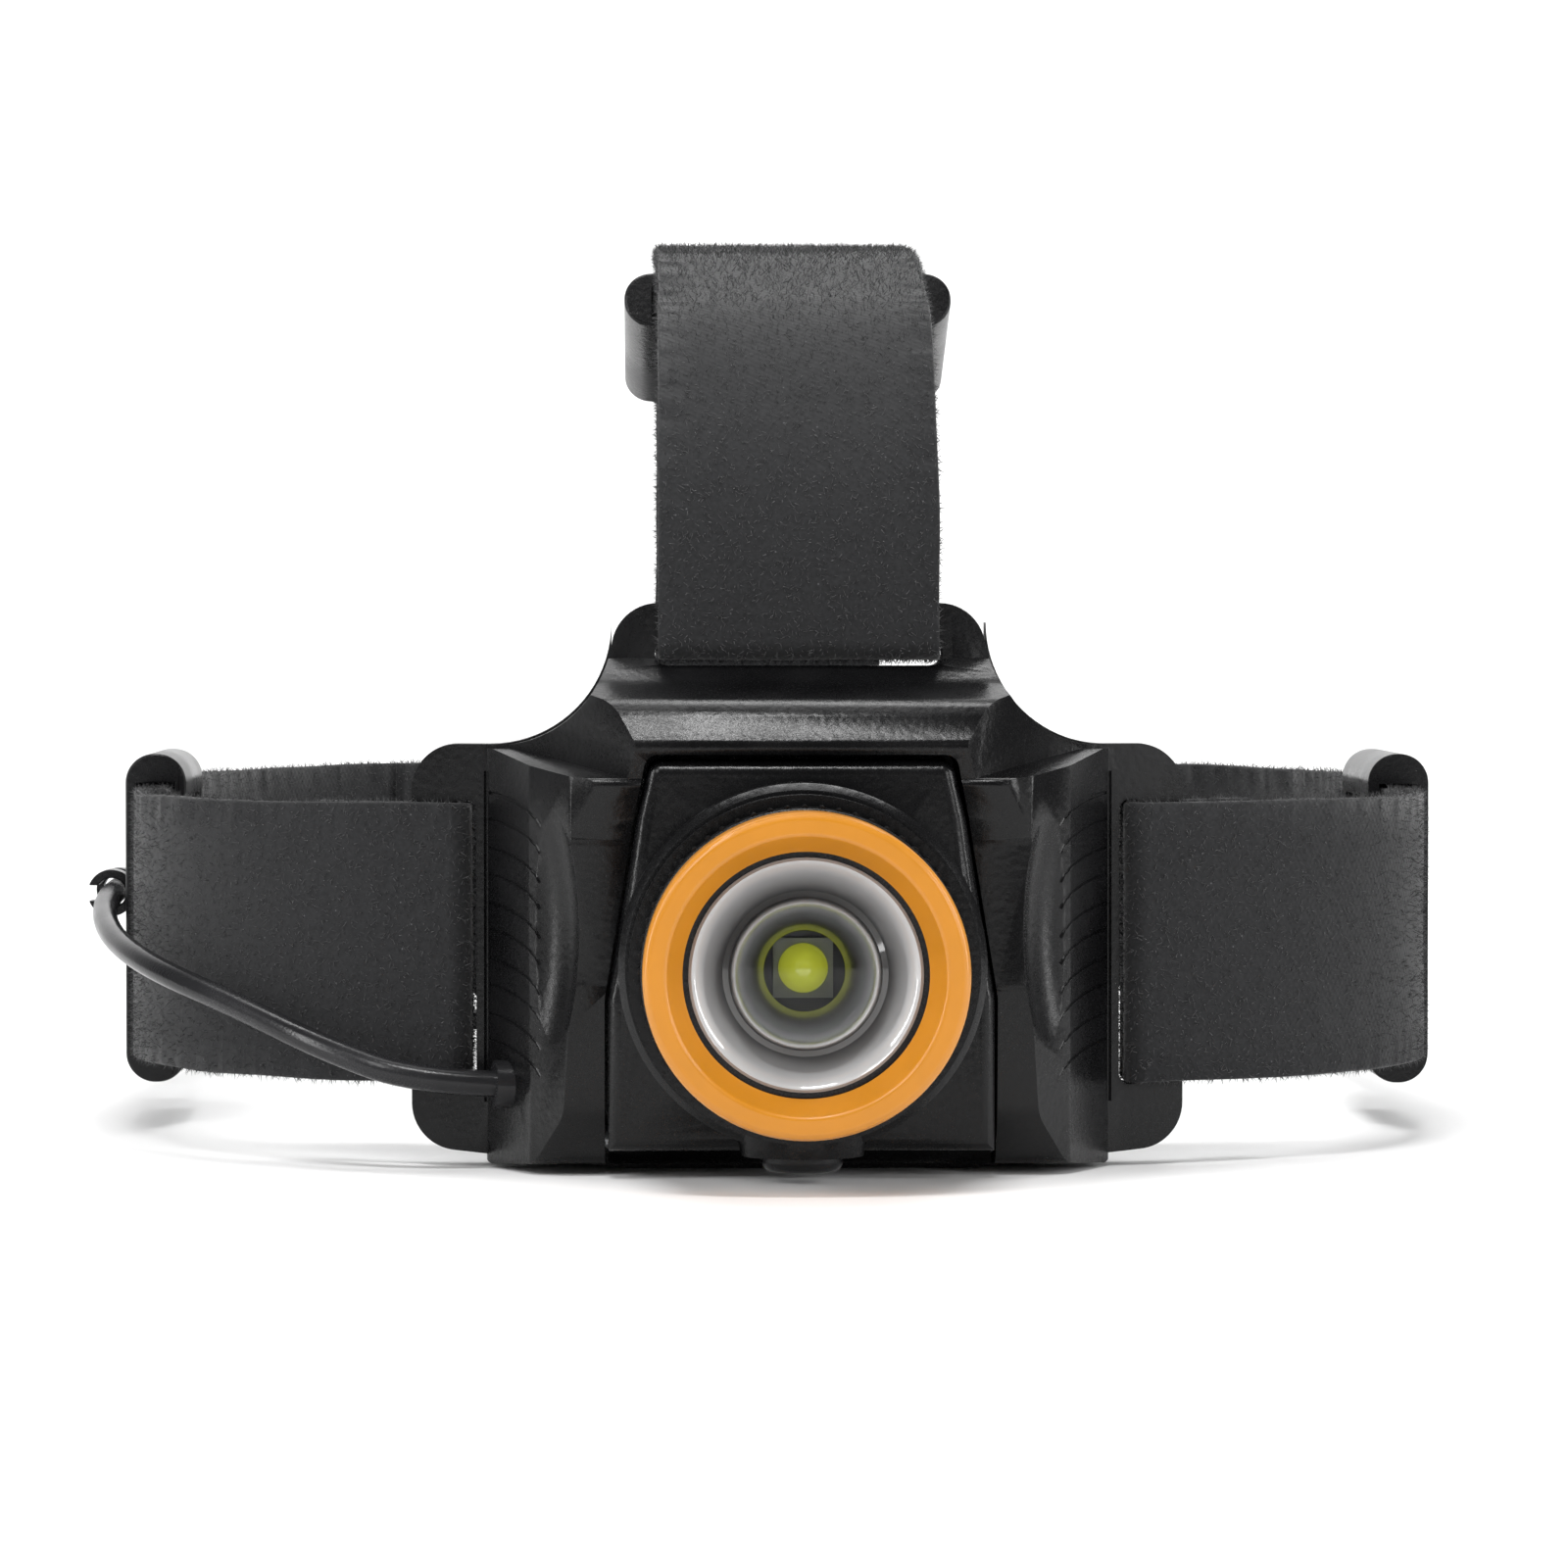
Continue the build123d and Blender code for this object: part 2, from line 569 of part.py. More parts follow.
def side_path(edge_x):
    """One side of the head band in plan, on the +X side: round the wing's bar, along the side
    and round the battery case's lug, with its two ends folded back inside."""
    half_t = STRAP_T / 2
    front_y = PLAN_Y - math.sqrt(FOREHEAD_R ** 2 - SLOT_MID_X ** 2) - STRAP_GAP - half_t - 0.5
    back_y = PLAN_Y - math.sqrt(SHELL_BACK_R ** 2 - BRACKET_HALF_W ** 2) + STRAP_GAP + half_t
    corner_y = front_y + (edge_x - SLOT_MID_X) * BAND_SLOPE
    lug_x = CASE_HALF_W + LUG_OUT - LUG_BAR - LUG_SLOT_W / 2
    out_y = LUG_BACK_Y + STRAP_GAP + half_t
    in_y = LUG_FRONT_Y - STRAP_GAP - half_t
    turn_x = CASE_HALF_W + LUG_OUT + 1.5
    rear_corner_y = out_y - (edge_x - turn_x)
    points = [
        (edge_x - 21.8, back_y + 5.7),
        (edge_x - 30.0, back_y + 0.3),
        (SLOT_MID_X, back_y - 0.1),
        (SLOT_MID_X, front_y),
        (edge_x, corner_y),
        (edge_x, rear_corner_y),
        (turn_x, out_y),
        (lug_x, out_y),
        (lug_x, in_y),
        (turn_x + 3.4, in_y),
        (turn_x + 7.8, in_y - 5.2),
    ]
    half_turn = (math.pi / 2 - math.atan(BAND_SLOPE)) / 2
    front_r = 0.9 * (edge_x - SLOT_MID_X) / math.cos(math.atan(BAND_SLOPE)) / math.tan(half_turn)
    rear_r = 0.93 * (edge_x - turn_x) * math.sqrt(2) / math.tan(math.radians(22.5))
    radii = [6.0, 1.2, 1.2, front_r, rear_r, 2.0, 1.2, 1.2, 2.0]
    return points, radii


def side_band(side, edge_x):
    """One side of the head band, from the front bracket to the battery case."""
    points, radii = side_path(edge_x)
    return plan_prism(strip([(side * x, y) for x, y in points], radii), BAND_LOW, BAND_HIGH)


def band_left():
    """The left side of the head band."""
    return side_band(-1, BAND_LEFT_X)


def band_right():
    """The right side of the head band."""
    return side_band(1, BAND_RIGHT_X)


def band_left_tail():
    """The band's free end inside the left slider, held against the band."""
    x = BAND_LEFT_X - LAYER_PITCH
    return block(-x - STRAP_T / 2, -x + STRAP_T / 2, TAIL_START_Y, TAIL_END_Y, BAND_LOW, BAND_HIGH)


def band_right_tail():
    """The band's free end inside the right slider, which reaches round towards the bracket."""
    x = BAND_RIGHT_X - LAYER_PITCH
    points, radii = side_path(BAND_RIGHT_X)
    radius = radii[FRONT_BEND] - LAYER_PITCH
    half_turn = (math.pi / 2 - math.atan(BAND_SLOPE)) / 2
    centre_y = points[FRONT_BEND + 1][1] + radii[FRONT_BEND] * math.tan(half_turn)
    start_x = x - 17.5
    start_y = centre_y - math.sqrt(radius ** 2 - (start_x - x + radius) ** 2)
    slope = (start_x - x + radius) / (centre_y - start_y)
    corner_y = start_y + (x - start_x) * slope
    points = [(start_x, start_y), (x, corner_y), (x, TAIL_END_Y)]
    return plan_prism(strip(points, [radius * 0.98]), BAND_LOW, BAND_HIGH)


def top_path():
    """The over-head strap from the side (y, z): round the neck's bar, over the crown, and round
    the lug on the battery case."""
    half_t = STRAP_T / 2
    slot_z = (NECK_SLOT_LOW + NECK_SLOT_TOP) / 2
    front_y = NECK_FRONT_Y - STRAP_GAP - half_t
    back_y = PLAN_Y - math.sqrt(SHELL_BACK_R ** 2 - (STRAP_W / 2) ** 2) + STRAP_GAP + half_t
    lug_z = top_lug_slot_z()
    out_y = LUG_BACK_Y + 1.0 + STRAP_GAP + half_t
    in_y = LUG_FRONT_Y + 1.0 - STRAP_GAP - half_t
    end = (CROWN[0] + CROWN_SLOPE[0], CROWN[1] + CROWN_SLOPE[1])
    points = [
        (back_y, slot_z + 13.0),
        (back_y, slot_z),
        (front_y, slot_z),
        (front_y + 0.2, slot_z + 17.0),
        (14.0, 91.0),
        (50.0, 99.5),
        CROWN,
        end,
        (LOOP_DEPTH - 4.0, 68.0),
        (out_y, lug_z + 10.0),
        (out_y, lug_z),
        (in_y, lug_z),
        (in_y, lug_z + 12.0),
    ]
    radii = [1.2, 1.2, 30.0, 40.0, 90.0, 60.0, 60.0, 24.0, 12.0, 1.2, 1.2]
    return points, radii


def top_lug_slot_z():
    """Height of the slot's middle in the lug on top of the battery case."""
    return CASE_H + TOP_LUG_H - LUG_BAR - LUG_SLOT_W / 2 - 0.4


def top_strap():
    """The strap over the head."""
    points, radii = top_path()
    return side_prism(strip(points, radii), -STRAP_W / 2, STRAP_W / 2)


def crown_plane(along):
    """A plane on the strap's straight run behind the crown: X inwards, Y along the strap."""
    length = math.hypot(*CROWN_SLOPE)
    dy = CROWN_SLOPE[0] / length
    dz = CROWN_SLOPE[1] / length
    inward = LAYER_PITCH / 2
    y = CROWN[0] + dy * along + dz * inward
    z = CROWN[1] + dz * along - dy * inward
    return Plane(origin=(0, y, z), x_dir=(0, dz, -dy), z_dir=(1, 0, 0))


def top_strap_tail():
    """The over-head strap's free end, held against it in the top slider."""
    tail = Pos(LAYER_PITCH / 2, 0, 0) * Box(STRAP_T, 38.0, STRAP_W)
    return crown_plane(TOP_SLIDER_AT + 4.0).location * tail


def slider(extra=0.0):
    """A strap slider about its own centre, with its outer face at -X, the strap along Y and its
    width along Z: a rounded frame with three bars on each face. It can be made wider than usual."""
    r = SLIDER_T / 2 - 0.15
    half_t = SLIDER_T / 2
    half_w = (SLIDER_W + extra) / 2
    section = outline([(-half_t, -half_w), (half_t, -half_w), (half_t, half_w), (-half_t, half_w)], [r] * 4)
    body = front_prism(section, -SLIDER_L / 2, SLIDER_L / 2)
    slot_t = LAYER_PITCH + STRAP_T + 0.8
    body -= Box(slot_t, SLIDER_L + 2, STRAP_W + 1.0 + extra)
    bar = 3.6
    window = (SLIDER_L - 3 * bar) / 2
    for side in (-1, 1):
        body -= Pos(0, side * (window + bar) / 2, 0) * Box(SLIDER_T + 2, window, STRAP_W - 2.0 + extra)
    return body


def left_slider():
    """The slider on the band's left side."""
    return Pos(-BAND_LEFT_X + LAYER_PITCH / 2, LEFT_SLIDER_Y, BAND_Z) * slider()


def right_slider():
    """The slider on the band's right side."""
    return Pos(BAND_RIGHT_X - LAYER_PITCH / 2, RIGHT_SLIDER_Y, BAND_Z) * Rot(0, 0, 180) * slider()


def top_slider():
    """The slider on the strap over the head."""
    return Pos(TOP_SLIDER_EXTRA / 2, 0, 0) * crown_plane(TOP_SLIDER_AT).location * slider(TOP_SLIDER_EXTRA)


def cable_clip():
    """The cable holder on the left slider: an open ring and a closed eyelet on a short web."""
    x, z = CABLE_SIDE
    face = -BAND_LEFT_X + LAYER_PITCH / 2 - SLIDER_T / 2
    y = LEFT_SLIDER_Y
    ring = Pos(x, y + 1.5, z) * Rot(90, 0, 0) * Cylinder(CABLE_R + 1.35, 4.0)
    eyelet = Pos(x, y + 11.0, z) * Rot(90, 0, 0) * Cylinder(CABLE_R + 1.15, 3.0)
    web = block(x, face, y - 0.5, y + 3.5, z - 1.4, z + 1.4)
    web += block(x, face, y + 10.9, y + 12.4, z - 1.4, z + 1.4)
    body = ring + eyelet + web
    body -= Pos(x, y, z) * Rot(90, 0, 0) * Cylinder(CABLE_R + 0.35, 60)
    mouth = block(x - 4, x, y - 1, y + 4, z - 0.9, z + 0.9)
    rail = block(face - 0.8, face, y - 1.6, y + 13.6, z - 3.0, z + 3.0)
    return body - mouth + rail


# ---------------------------------------------------------------- lead

def cable_radii(points):
    """The largest arc that each corner's two runs leave room for."""
    radii = []
    for before, corner, after in zip(points, points[1:], points[2:]):
        run_in = Vector(*corner) - Vector(*before)
        run_out = Vector(*after) - Vector(*corner)
        half_turn = math.radians(run_in.get_angle(run_out) / 2)
        radii.append(0.45 * min(run_in.length, run_out.length) / math.tan(half_turn))
    return radii


def lamp_cable():
    """The lead from the front bracket to the battery case, in tangent arcs and straight runs."""
    radii = cable_radii(CABLE_POINTS)
    print("cable radii:", [round(r, 1) for r in radii])
    path = FilletPolyline(*CABLE_POINTS, radius=radii)
    start = Plane(origin=path @ 0, z_dir=path % 0)
    tube = sweep(start * Circle(CABLE_R), path=path)
    print("cable volume over section times length:", tube.volume / (math.pi * CABLE_R ** 2 * path.length))
    return tube


# ---------------------------------------------------------------- battery case


def battery_case():
    """The open tray at the back of the head band, with strap lugs at its sides and top."""
    half = CASE_HALF_W
    face = outline([(-half, 0), (half, 0), (half, CASE_H), (-half, CASE_H)], [4.0] * 4)
    body = front_prism(face, CASE_FRONT_Y, CASE_BACK_Y)
    front_edges = body.faces().sort_by(Axis.Y)[0].edges()
    body = fillet(front_edges, 1.6)
    w = CASE_WALL
    inner = [(-half + w, w), (half - w, w), (half - w, CASE_H - w), (-half + w, CASE_H - w)]
    body -= front_prism(outline(inner, [2.2] * 4), CASE_FRONT_Y + w, CASE_BACK_Y + 1)
    lug = side_lugs()
    body += lug - block(-half + 1, half - 1, 0, 300, -1, CASE_H - 1)
    body -= gland_bore(CABLE_GLAND_R)
    for z0, z1 in HINGE_LUGS:
        knuckle = upright(HINGE_R, z0, z1, DOOR_HINGE_X, DOOR_HINGE_Y)
        knuckle += block(DOOR_HINGE_X - HINGE_R, half, CASE_BACK_Y - 1.5, DOOR_HINGE_Y, z0, z1)
        body += knuckle
    return body - upright(DOOR_PIN_R, -1, CASE_H + 1, DOOR_HINGE_X, DOOR_HINGE_Y)


def side_lugs():
    """The plate with a strap slot at each side and one at the top."""
    half = CASE_HALF_W + LUG_OUT
    low = BAND_LOW - SLOT_END_GAP
    high = BAND_HIGH + SLOT_END_GAP
    plate = outline([(-half, low - LUG_BAR), (half, low - LUG_BAR), (half, high + LUG_BAR), (-half, high + LUG_BAR)],
                    [3.0] * 4)
    body = front_prism(plate, LUG_FRONT_Y, LUG_BACK_Y)
    top_half = STRAP_W / 2 + SLOT_END_GAP + LUG_BAR
    top = CASE_H + TOP_LUG_H
    neck = outline([(-top_half, 20), (top_half, 20), (top_half, top), (-top_half, top)], [1.0, 1.0, 4.0, 4.0])
    body += front_prism(neck, LUG_FRONT_Y + 1.0, LUG_BACK_Y + 1.0)
    for side in (-1, 1):
        xs = sorted((side * (half - LUG_BAR), side * (half - LUG_BAR - LUG_SLOT_W)))
        face = outline([(xs[0], low), (xs[1], low), (xs[1], high), (xs[0], high)], [1.2] * 4)
        body -= front_prism(face, LUG_FRONT_Y - 5, LUG_BACK_Y + 5)
    z = top_lug_slot_z()
    slot_half = STRAP_W / 2 + SLOT_END_GAP
    z0 = z - LUG_SLOT_W / 2
    z1 = z + LUG_SLOT_W / 2
    face = outline([(-slot_half, z0), (slot_half, z0), (slot_half, z1), (-slot_half, z1)], [1.2] * 4)
    return body - front_prism(face, LUG_FRONT_Y - 5, LUG_BACK_Y + 5)


def gland_bore(radius):
    """The lead's way into the battery case, along X."""
    x, y, z = CABLE_POINTS[-1]
    return Pos(-CASE_HALF_W, y, z) * Rot(0, 90, 0) * Cylinder(radius, 5.0)


def case_gland():
    """The sleeve round the lead where it enters the battery case."""
    x, y, z = CABLE_POINTS[-1]
    sleeve = Pos(-CASE_HALF_W - 0.2, y, z) * Rot(0, 90, 0) * Cylinder(CABLE_GLAND_R, 4.4)
    bore_axis = Plane(origin=(x, y, z), z_dir=Vector(*CABLE_POINTS[-1]) - Vector(*CABLE_POINTS[-2]))
    return sleeve - bore_axis.location * Cylinder(CABLE_R, 30)


def rear_pad():
    """The foam between the battery case and the back of the head."""
    half = CASE_HALF_W - 4
    face = outline([(-half, 3), (half, 3), (half, CASE_H - 3), (-half, CASE_H - 3)], [5.0] * 4)
    return front_prism(face, CASE_FRONT_Y - 5.0, CASE_FRONT_Y - 0.05)


def cell(index):
    """One AAA cell, lying across the case, with its raised positive end."""
    z = CASE_WALL + CELL_PITCH * (index + 0.5)
    side = 1 if index % 2 == 0 else -1
    can = Pos(0, CELL_Y, z) * Rot(0, 90, 0) * Cylinder(CELL_R, CELL_L)
    return can + Pos(side * (CELL_L / 2 + 0.5), CELL_Y, z) * Rot(0, 90, 0) * Cylinder(1.9, 1.0)


def contact_springs():
    """One coiled contact for each cell's flat end, drawn as the cone that the coil fills."""
    parts = []
    for index in range(3):
        z = CASE_WALL + CELL_PITCH * (index + 0.5)
        side = -1 if index % 2 == 0 else 1
        x = side * (CELL_L / 2 + 3.0)
        turn = Rot(0, 90 * side, 0)
        coil = Cone(3.6, 2.2, 5.9) - Cone(2.9, 1.5, 6.2)
        parts.append(Pos(x, CELL_Y, z) * turn * coil)
    return Compound(parts)


def contact_plates():
    """The sheet contacts at both ends of the case."""
    x = CELL_L / 2 + 6.0
    parts = []
    for index in range(3):
        z = CASE_WALL + CELL_PITCH * (index + 0.5)
        for side in (-1, 1):
            parts.append(Pos(side * (x + 0.3), CELL_Y, z) * Box(0.5, 8.0, 9.0))
    return Compound(parts)


def battery_door():
    """The door that closes the back of the case, with its hinge knuckle."""
    half = CASE_HALF_W
    y0 = CASE_BACK_Y + DOOR_GAP
    y1 = CASE_BACK_Y + DOOR_GAP + DOOR_T
    face = outline([(-half, 0), (half - 4.2, 0), (half - 4.2, CASE_H), (-half, CASE_H)], [4.0, 0.8, 0.8, 4.0])
    body = front_prism(face, y0, y1)
    body = fillet(body.faces().sort_by(Axis.Y)[-1].edges(), 1.0)
    z0 = HINGE_LUGS[0][1] + DOOR_GAP
    z1 = HINGE_LUGS[1][0] - DOOR_GAP
    body += upright(HINGE_R, z0, z1, DOOR_HINGE_X, DOOR_HINGE_Y)
    body += block(half - 5.0, DOOR_HINGE_X, DOOR_HINGE_Y - 0.9, DOOR_HINGE_Y + 0.9, z0, z1)
    body -= upright(DOOR_PIN_R + RUNNING_GAP, -1, CASE_H + 1, DOOR_HINGE_X, DOOR_HINGE_Y)
    recess = block(-half - 1, -half + 11.2, y1 - 1.2, y1 + 1, CASE_H / 2 - 6.3, CASE_H / 2 + 6.3)
    return body - recess


def door_seal():
    """The rubber frame inside the door."""
    half = CASE_HALF_W - CASE_WALL - 0.5
    low = CASE_WALL + 0.5
    high = CASE_H - low
    right = half - 5.0
    outer = outline([(-half, low), (right, low), (right, high), (-half, high)], [2.0] * 4)
    inner = outline([(-half + 1.5, low + 1.5), (right - 1.5, low + 1.5), (right - 1.5, high - 1.5),
                     (-half + 1.5, high - 1.5)], [1.0] * 4)
    return front_prism(outer - inner, CASE_BACK_Y - 0.5, CASE_BACK_Y + DOOR_GAP)


def door_hinge_pin():
    """The pin through the case's hinge lugs and the door's knuckle."""
    return upright(DOOR_PIN_R, HINGE_LUGS[0][0], HINGE_LUGS[1][1], DOOR_HINGE_X, DOOR_HINGE_Y)


def door_latch():
    """The sliding catch in the door's recess, with three finger ridges."""
    half = CASE_HALF_W
    y1 = CASE_BACK_Y + DOOR_GAP + DOOR_T
    z0 = CASE_H / 2 - 6.0
    z1 = CASE_H / 2 + 6.0
    body = block(-half - 0.6, -half + 8.0, y1 - 1.15, y1, z0, z1)
    for i in range(3):
        x = -half + 2.0 + 2.2 * i
        body += block(x - 0.4, x + 0.4, y1, y1 + 0.6, z0 + 1, z1 - 1)
    return body


# ---------------------------------------------------------------- files

PARTS = {
    "bracket_shell": bracket_shell,
    "back_plate": back_plate,
    "back_plate_screws": back_plate_screws,
    "forehead_pad": forehead_pad,
    "hinge_pins": hinge_pins,
    "cable_gland": cable_gland,
    "head_housing": head_housing,
    "head_cover": head_cover,
    "cover_gasket": cover_gasket,
    "head_cover_screws": head_cover_screws,
    "focus_barrel": focus_barrel,
    "heat_sink": heat_sink,
    "led_board": led_board,
    "led_package": led_package,
    "led_dome": led_dome,
    "driver_board": driver_board,
    "switch_board": switch_board,
    "tact_switch": tact_switch,
    "power_button": power_button,
    "focus_ring": focus_ring,
    "grip_ring": grip_ring,
    "lens_carrier": lens_carrier,
    "lens": lens,
    "lens_retainer": lens_retainer,
    "band_left": band_left,
    "band_right": band_right,
    "band_left_tail": band_left_tail,
    "band_right_tail": band_right_tail,
    "top_strap": top_strap,
    "top_strap_tail": top_strap_tail,
    "left_slider": left_slider,
    "right_slider": right_slider,
    "top_slider": top_slider,
    "cable_clip": cable_clip,
    "lamp_cable": lamp_cable,
    "battery_case": battery_case,
    "case_gland": case_gland,
    "rear_pad": rear_pad,
    "contact_springs": contact_springs,
    "contact_plates": contact_plates,
    "battery_door": battery_door,
    "door_seal": door_seal,
    "door_hinge_pin": door_hinge_pin,
    "door_latch": door_latch,
}

os.makedirs("parts", exist_ok=True)
for node, build in PARTS.items():
    export_step(build(), "parts/" + node + ".step")
for number in range(3):
    export_step(cell(number), "parts/cell_" + str(number + 1) + ".step")
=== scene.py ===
"""Looks for a focusing headlamp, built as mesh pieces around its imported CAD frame."""

import math

import bmesh
import bpy
from mathutils import Euler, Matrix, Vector, noise


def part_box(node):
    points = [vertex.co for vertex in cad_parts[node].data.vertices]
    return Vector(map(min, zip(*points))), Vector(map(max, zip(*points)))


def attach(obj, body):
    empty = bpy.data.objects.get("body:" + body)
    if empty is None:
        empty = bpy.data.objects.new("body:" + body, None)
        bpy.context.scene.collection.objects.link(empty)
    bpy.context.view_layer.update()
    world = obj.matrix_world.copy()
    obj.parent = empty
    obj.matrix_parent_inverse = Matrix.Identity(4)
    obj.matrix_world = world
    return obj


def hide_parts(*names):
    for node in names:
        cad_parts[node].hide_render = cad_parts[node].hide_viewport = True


bl_info = {
    "name": "Headlamp Looks",
    "version": (1, 0, 0),
    "blender": (4, 5, 0),
    "location": "View3D > Sidebar > Headlamp",
    "description": "Builds the visible pieces and finishes of a headlamp round its CAD frame",
    "category": "Object",
}

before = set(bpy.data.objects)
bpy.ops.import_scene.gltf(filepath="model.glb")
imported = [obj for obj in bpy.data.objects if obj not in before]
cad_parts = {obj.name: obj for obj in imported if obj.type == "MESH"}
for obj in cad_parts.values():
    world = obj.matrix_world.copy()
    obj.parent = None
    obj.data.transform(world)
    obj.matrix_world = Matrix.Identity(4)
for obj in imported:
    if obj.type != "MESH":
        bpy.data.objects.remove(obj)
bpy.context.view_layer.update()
MM = 0.001
WAVE_SEED = 7
RING_LOW, RING_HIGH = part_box("focus_ring")
LAMP_Z = (RING_LOW.z + RING_HIGH.z) / 2
LENS_RADIUS = 12.0
BULLSEYE_RADIUS = 6.95
BULLSEYE_CURVE = 34.0
BULLSEYE_SKIN = 0.5
FIBRES_PER_STRAP = 60000
PAD_SHRINK = 0.5
PAD_SWELL = 0.9 * MM
PAD_VOXEL = 1.6 * MM
PAD_PRESSURE = 4.0
PAD_FRAMES = 20
CABLE_RADIUS = 1.4 * MM
GILL_TOP = 40.2 * MM
GILL_HEIGHT = 2.8 * MM
CHEEK_LINE_X = 33.4 * MM


# ------------------------------------------------------------------ settings


class BracketSettings(bpy.types.PropertyGroup):
    """Sizes of the moulded front bracket's details."""

    edge_round: bpy.props.FloatProperty(
        name="Edge rounding", description="Radius of the moulded edges", default=0.35 * MM,
        unit="LENGTH")
    gill_pitch: bpy.props.FloatProperty(
        name="Gill pitch", description="Distance between the side gills", default=5.9 * MM,
        unit="LENGTH")
    gill_count: bpy.props.IntProperty(
        name="Gills", description="Number of gills on each side facet", default=5, min=1, max=8)
    groove_radius: bpy.props.FloatProperty(
        name="Groove radius", description="Radius of the engraved lines", default=0.2 * MM,
        unit="LENGTH")


class StrapSettings(bpy.types.PropertyGroup):
    """Sizes of the elastic's pile and seams."""

    fibre_length: bpy.props.FloatProperty(
        name="Fibre length", description="Length of the pile's fibres", default=0.75 * MM,
        unit="LENGTH")
    fibre_radius: bpy.props.FloatProperty(
        name="Fibre radius", description="Radius of a fibre at its root", default=0.045 * MM,
        unit="LENGTH")
    fibre_density: bpy.props.FloatProperty(
        name="Fibre density", description="Fibres in a square metre", default=4.5e6)
    stitch_pitch: bpy.props.FloatProperty(
        name="Stitch pitch", description="Distance between stitches", default=2.4 * MM,
        unit="LENGTH")
    waviness: bpy.props.FloatProperty(
        name="Waviness", description="How far the elastic's faces wander", default=0.22 * MM,
        unit="LENGTH")


class FinishSettings(bpy.types.PropertyGroup):
    """Colours that a user would change."""

    housing: bpy.props.FloatVectorProperty(
        name="Housing", description="Colour of the moulded plastic", subtype="COLOR", size=3,
        default=(0.0030, 0.0030, 0.0033))
    ring: bpy.props.FloatVectorProperty(
        name="Focus ring", description="Colour of the focus ring", subtype="COLOR", size=3,
        default=(0.50, 0.190, 0.006))
    strap: bpy.props.FloatVectorProperty(
        name="Elastic", description="Colour of the elastic", subtype="COLOR", size=3,
        default=(0.0150, 0.0152, 0.0160))
    lamp: bpy.props.FloatVectorProperty(
        name="Light source", description="Colour of the light source's dome", subtype="COLOR",
        size=3, default=(0.62, 0.66, 0.05))


class StageSettings(bpy.types.PropertyGroup):
    """The camera and the studio."""

    camera: bpy.props.FloatVectorProperty(
        name="Camera", description="Camera place", size=3, default=(-0.016, -0.700, 0.0601),
        subtype="XYZ")
    pitch: bpy.props.FloatProperty(
        name="Pitch", description="How far the camera looks down", default=math.radians(1.556),
        subtype="ANGLE")
    yaw: bpy.props.FloatProperty(
        name="Yaw", description="How far the camera looks to the right",
        default=math.radians(1.186), subtype="ANGLE")
    lens: bpy.props.FloatProperty(
        name="Lens", description="Focal length in millimetres", default=149.94)


# ------------------------------------------------------------------ shader groups


def new_group(name, inputs, outputs):
    """A shader node group with its input and output sockets, and its two end nodes."""
    tree = bpy.data.node_groups.new(name, "ShaderNodeTree")
    for label, kind, value in inputs:
        socket = tree.interface.new_socket(label, in_out="INPUT", socket_type=kind)
        if value is not None:
            socket.default_value = value
    for label, kind in outputs:
        tree.interface.new_socket(label, in_out="OUTPUT", socket_type=kind)
    return tree, tree.nodes.new("NodeGroupInput"), tree.nodes.new("NodeGroupOutput")


def node(tree, kind, links=None, **settings):
    """Adds a node, sets its properties and its inputs, and links the inputs that are sockets."""
    made = tree.nodes.new(kind)
    for key, value in settings.items():
        setattr(made, key, value)
    for key, value in (links or {}).items():
        if isinstance(value, bpy.types.NodeSocket):
            tree.links.new(value, made.inputs[key])
        else:
            made.inputs[key].default_value = value
    return made


def build_grain_group():
    """Leather-like moulded grain: cells of two sizes, and patches where it is smoother."""
    tree, inp, out = new_group(
        "MouldGrain",
        [("Vector", "NodeSocketVector", None), ("Scale", "NodeSocketFloat", 1500.0),
         ("Wear", "NodeSocketFloat", 0.3)],
        [("Height", "NodeSocketFloat"), ("Roughness", "NodeSocketFloat"),
         ("Smudge", "NodeSocketFloat")])
    vector = inp.outputs["Vector"]
    bend = node(tree, "ShaderNodeTexNoise", {"Vector": vector, "Scale": 700.0, "Detail": 2.0})
    push = node(tree, "ShaderNodeVectorMath",
                {0: bend.outputs["Color"], 1: (0.0006, 0.0006, 0.0006)}, operation="MULTIPLY")
    moved = node(tree, "ShaderNodeVectorMath", {0: vector, 1: push.outputs[0]}, operation="ADD")
    cells = node(tree, "ShaderNodeTexVoronoi",
                 {"Vector": moved.outputs[0], "Scale": inp.outputs["Scale"]},
                 feature="SMOOTH_F1")
    fine = node(tree, "ShaderNodeTexNoise",
                {"Vector": vector, "Scale": 5200.0, "Detail": 3.0, "Roughness": 0.6})
    both = node(tree, "ShaderNodeMath",
                {0: fine.outputs["Fac"], 1: 0.35, 2: cells.outputs["Distance"]},
                operation="MULTIPLY_ADD")
    patch = node(tree, "ShaderNodeTexNoise", {"Vector": vector, "Scale": 60.0, "Detail": 4.0})
    smudge = node(tree, "ShaderNodeMapRange",
                  {"Value": patch.outputs["Fac"], "From Min": 0.42, "From Max": 0.66})
    rough = node(tree, "ShaderNodeMapRange",
                 {"Value": smudge.outputs["Result"], "To Min": 0.17, "To Max": 0.26})
    worn = node(tree, "ShaderNodeMath",
                {0: fine.outputs["Fac"], 1: inp.outputs["Wear"], 2: rough.outputs["Result"]},
                operation="MULTIPLY_ADD")
    eased = node(tree, "ShaderNodeMath", {0: worn.outputs[0], 1: 0.08}, operation="SUBTRACT")
    tree.links.new(both.outputs[0], out.inputs["Height"])
    tree.links.new(eased.outputs[0], out.inputs["Roughness"])
    tree.links.new(smudge.outputs["Result"], out.inputs["Smudge"])
    return tree


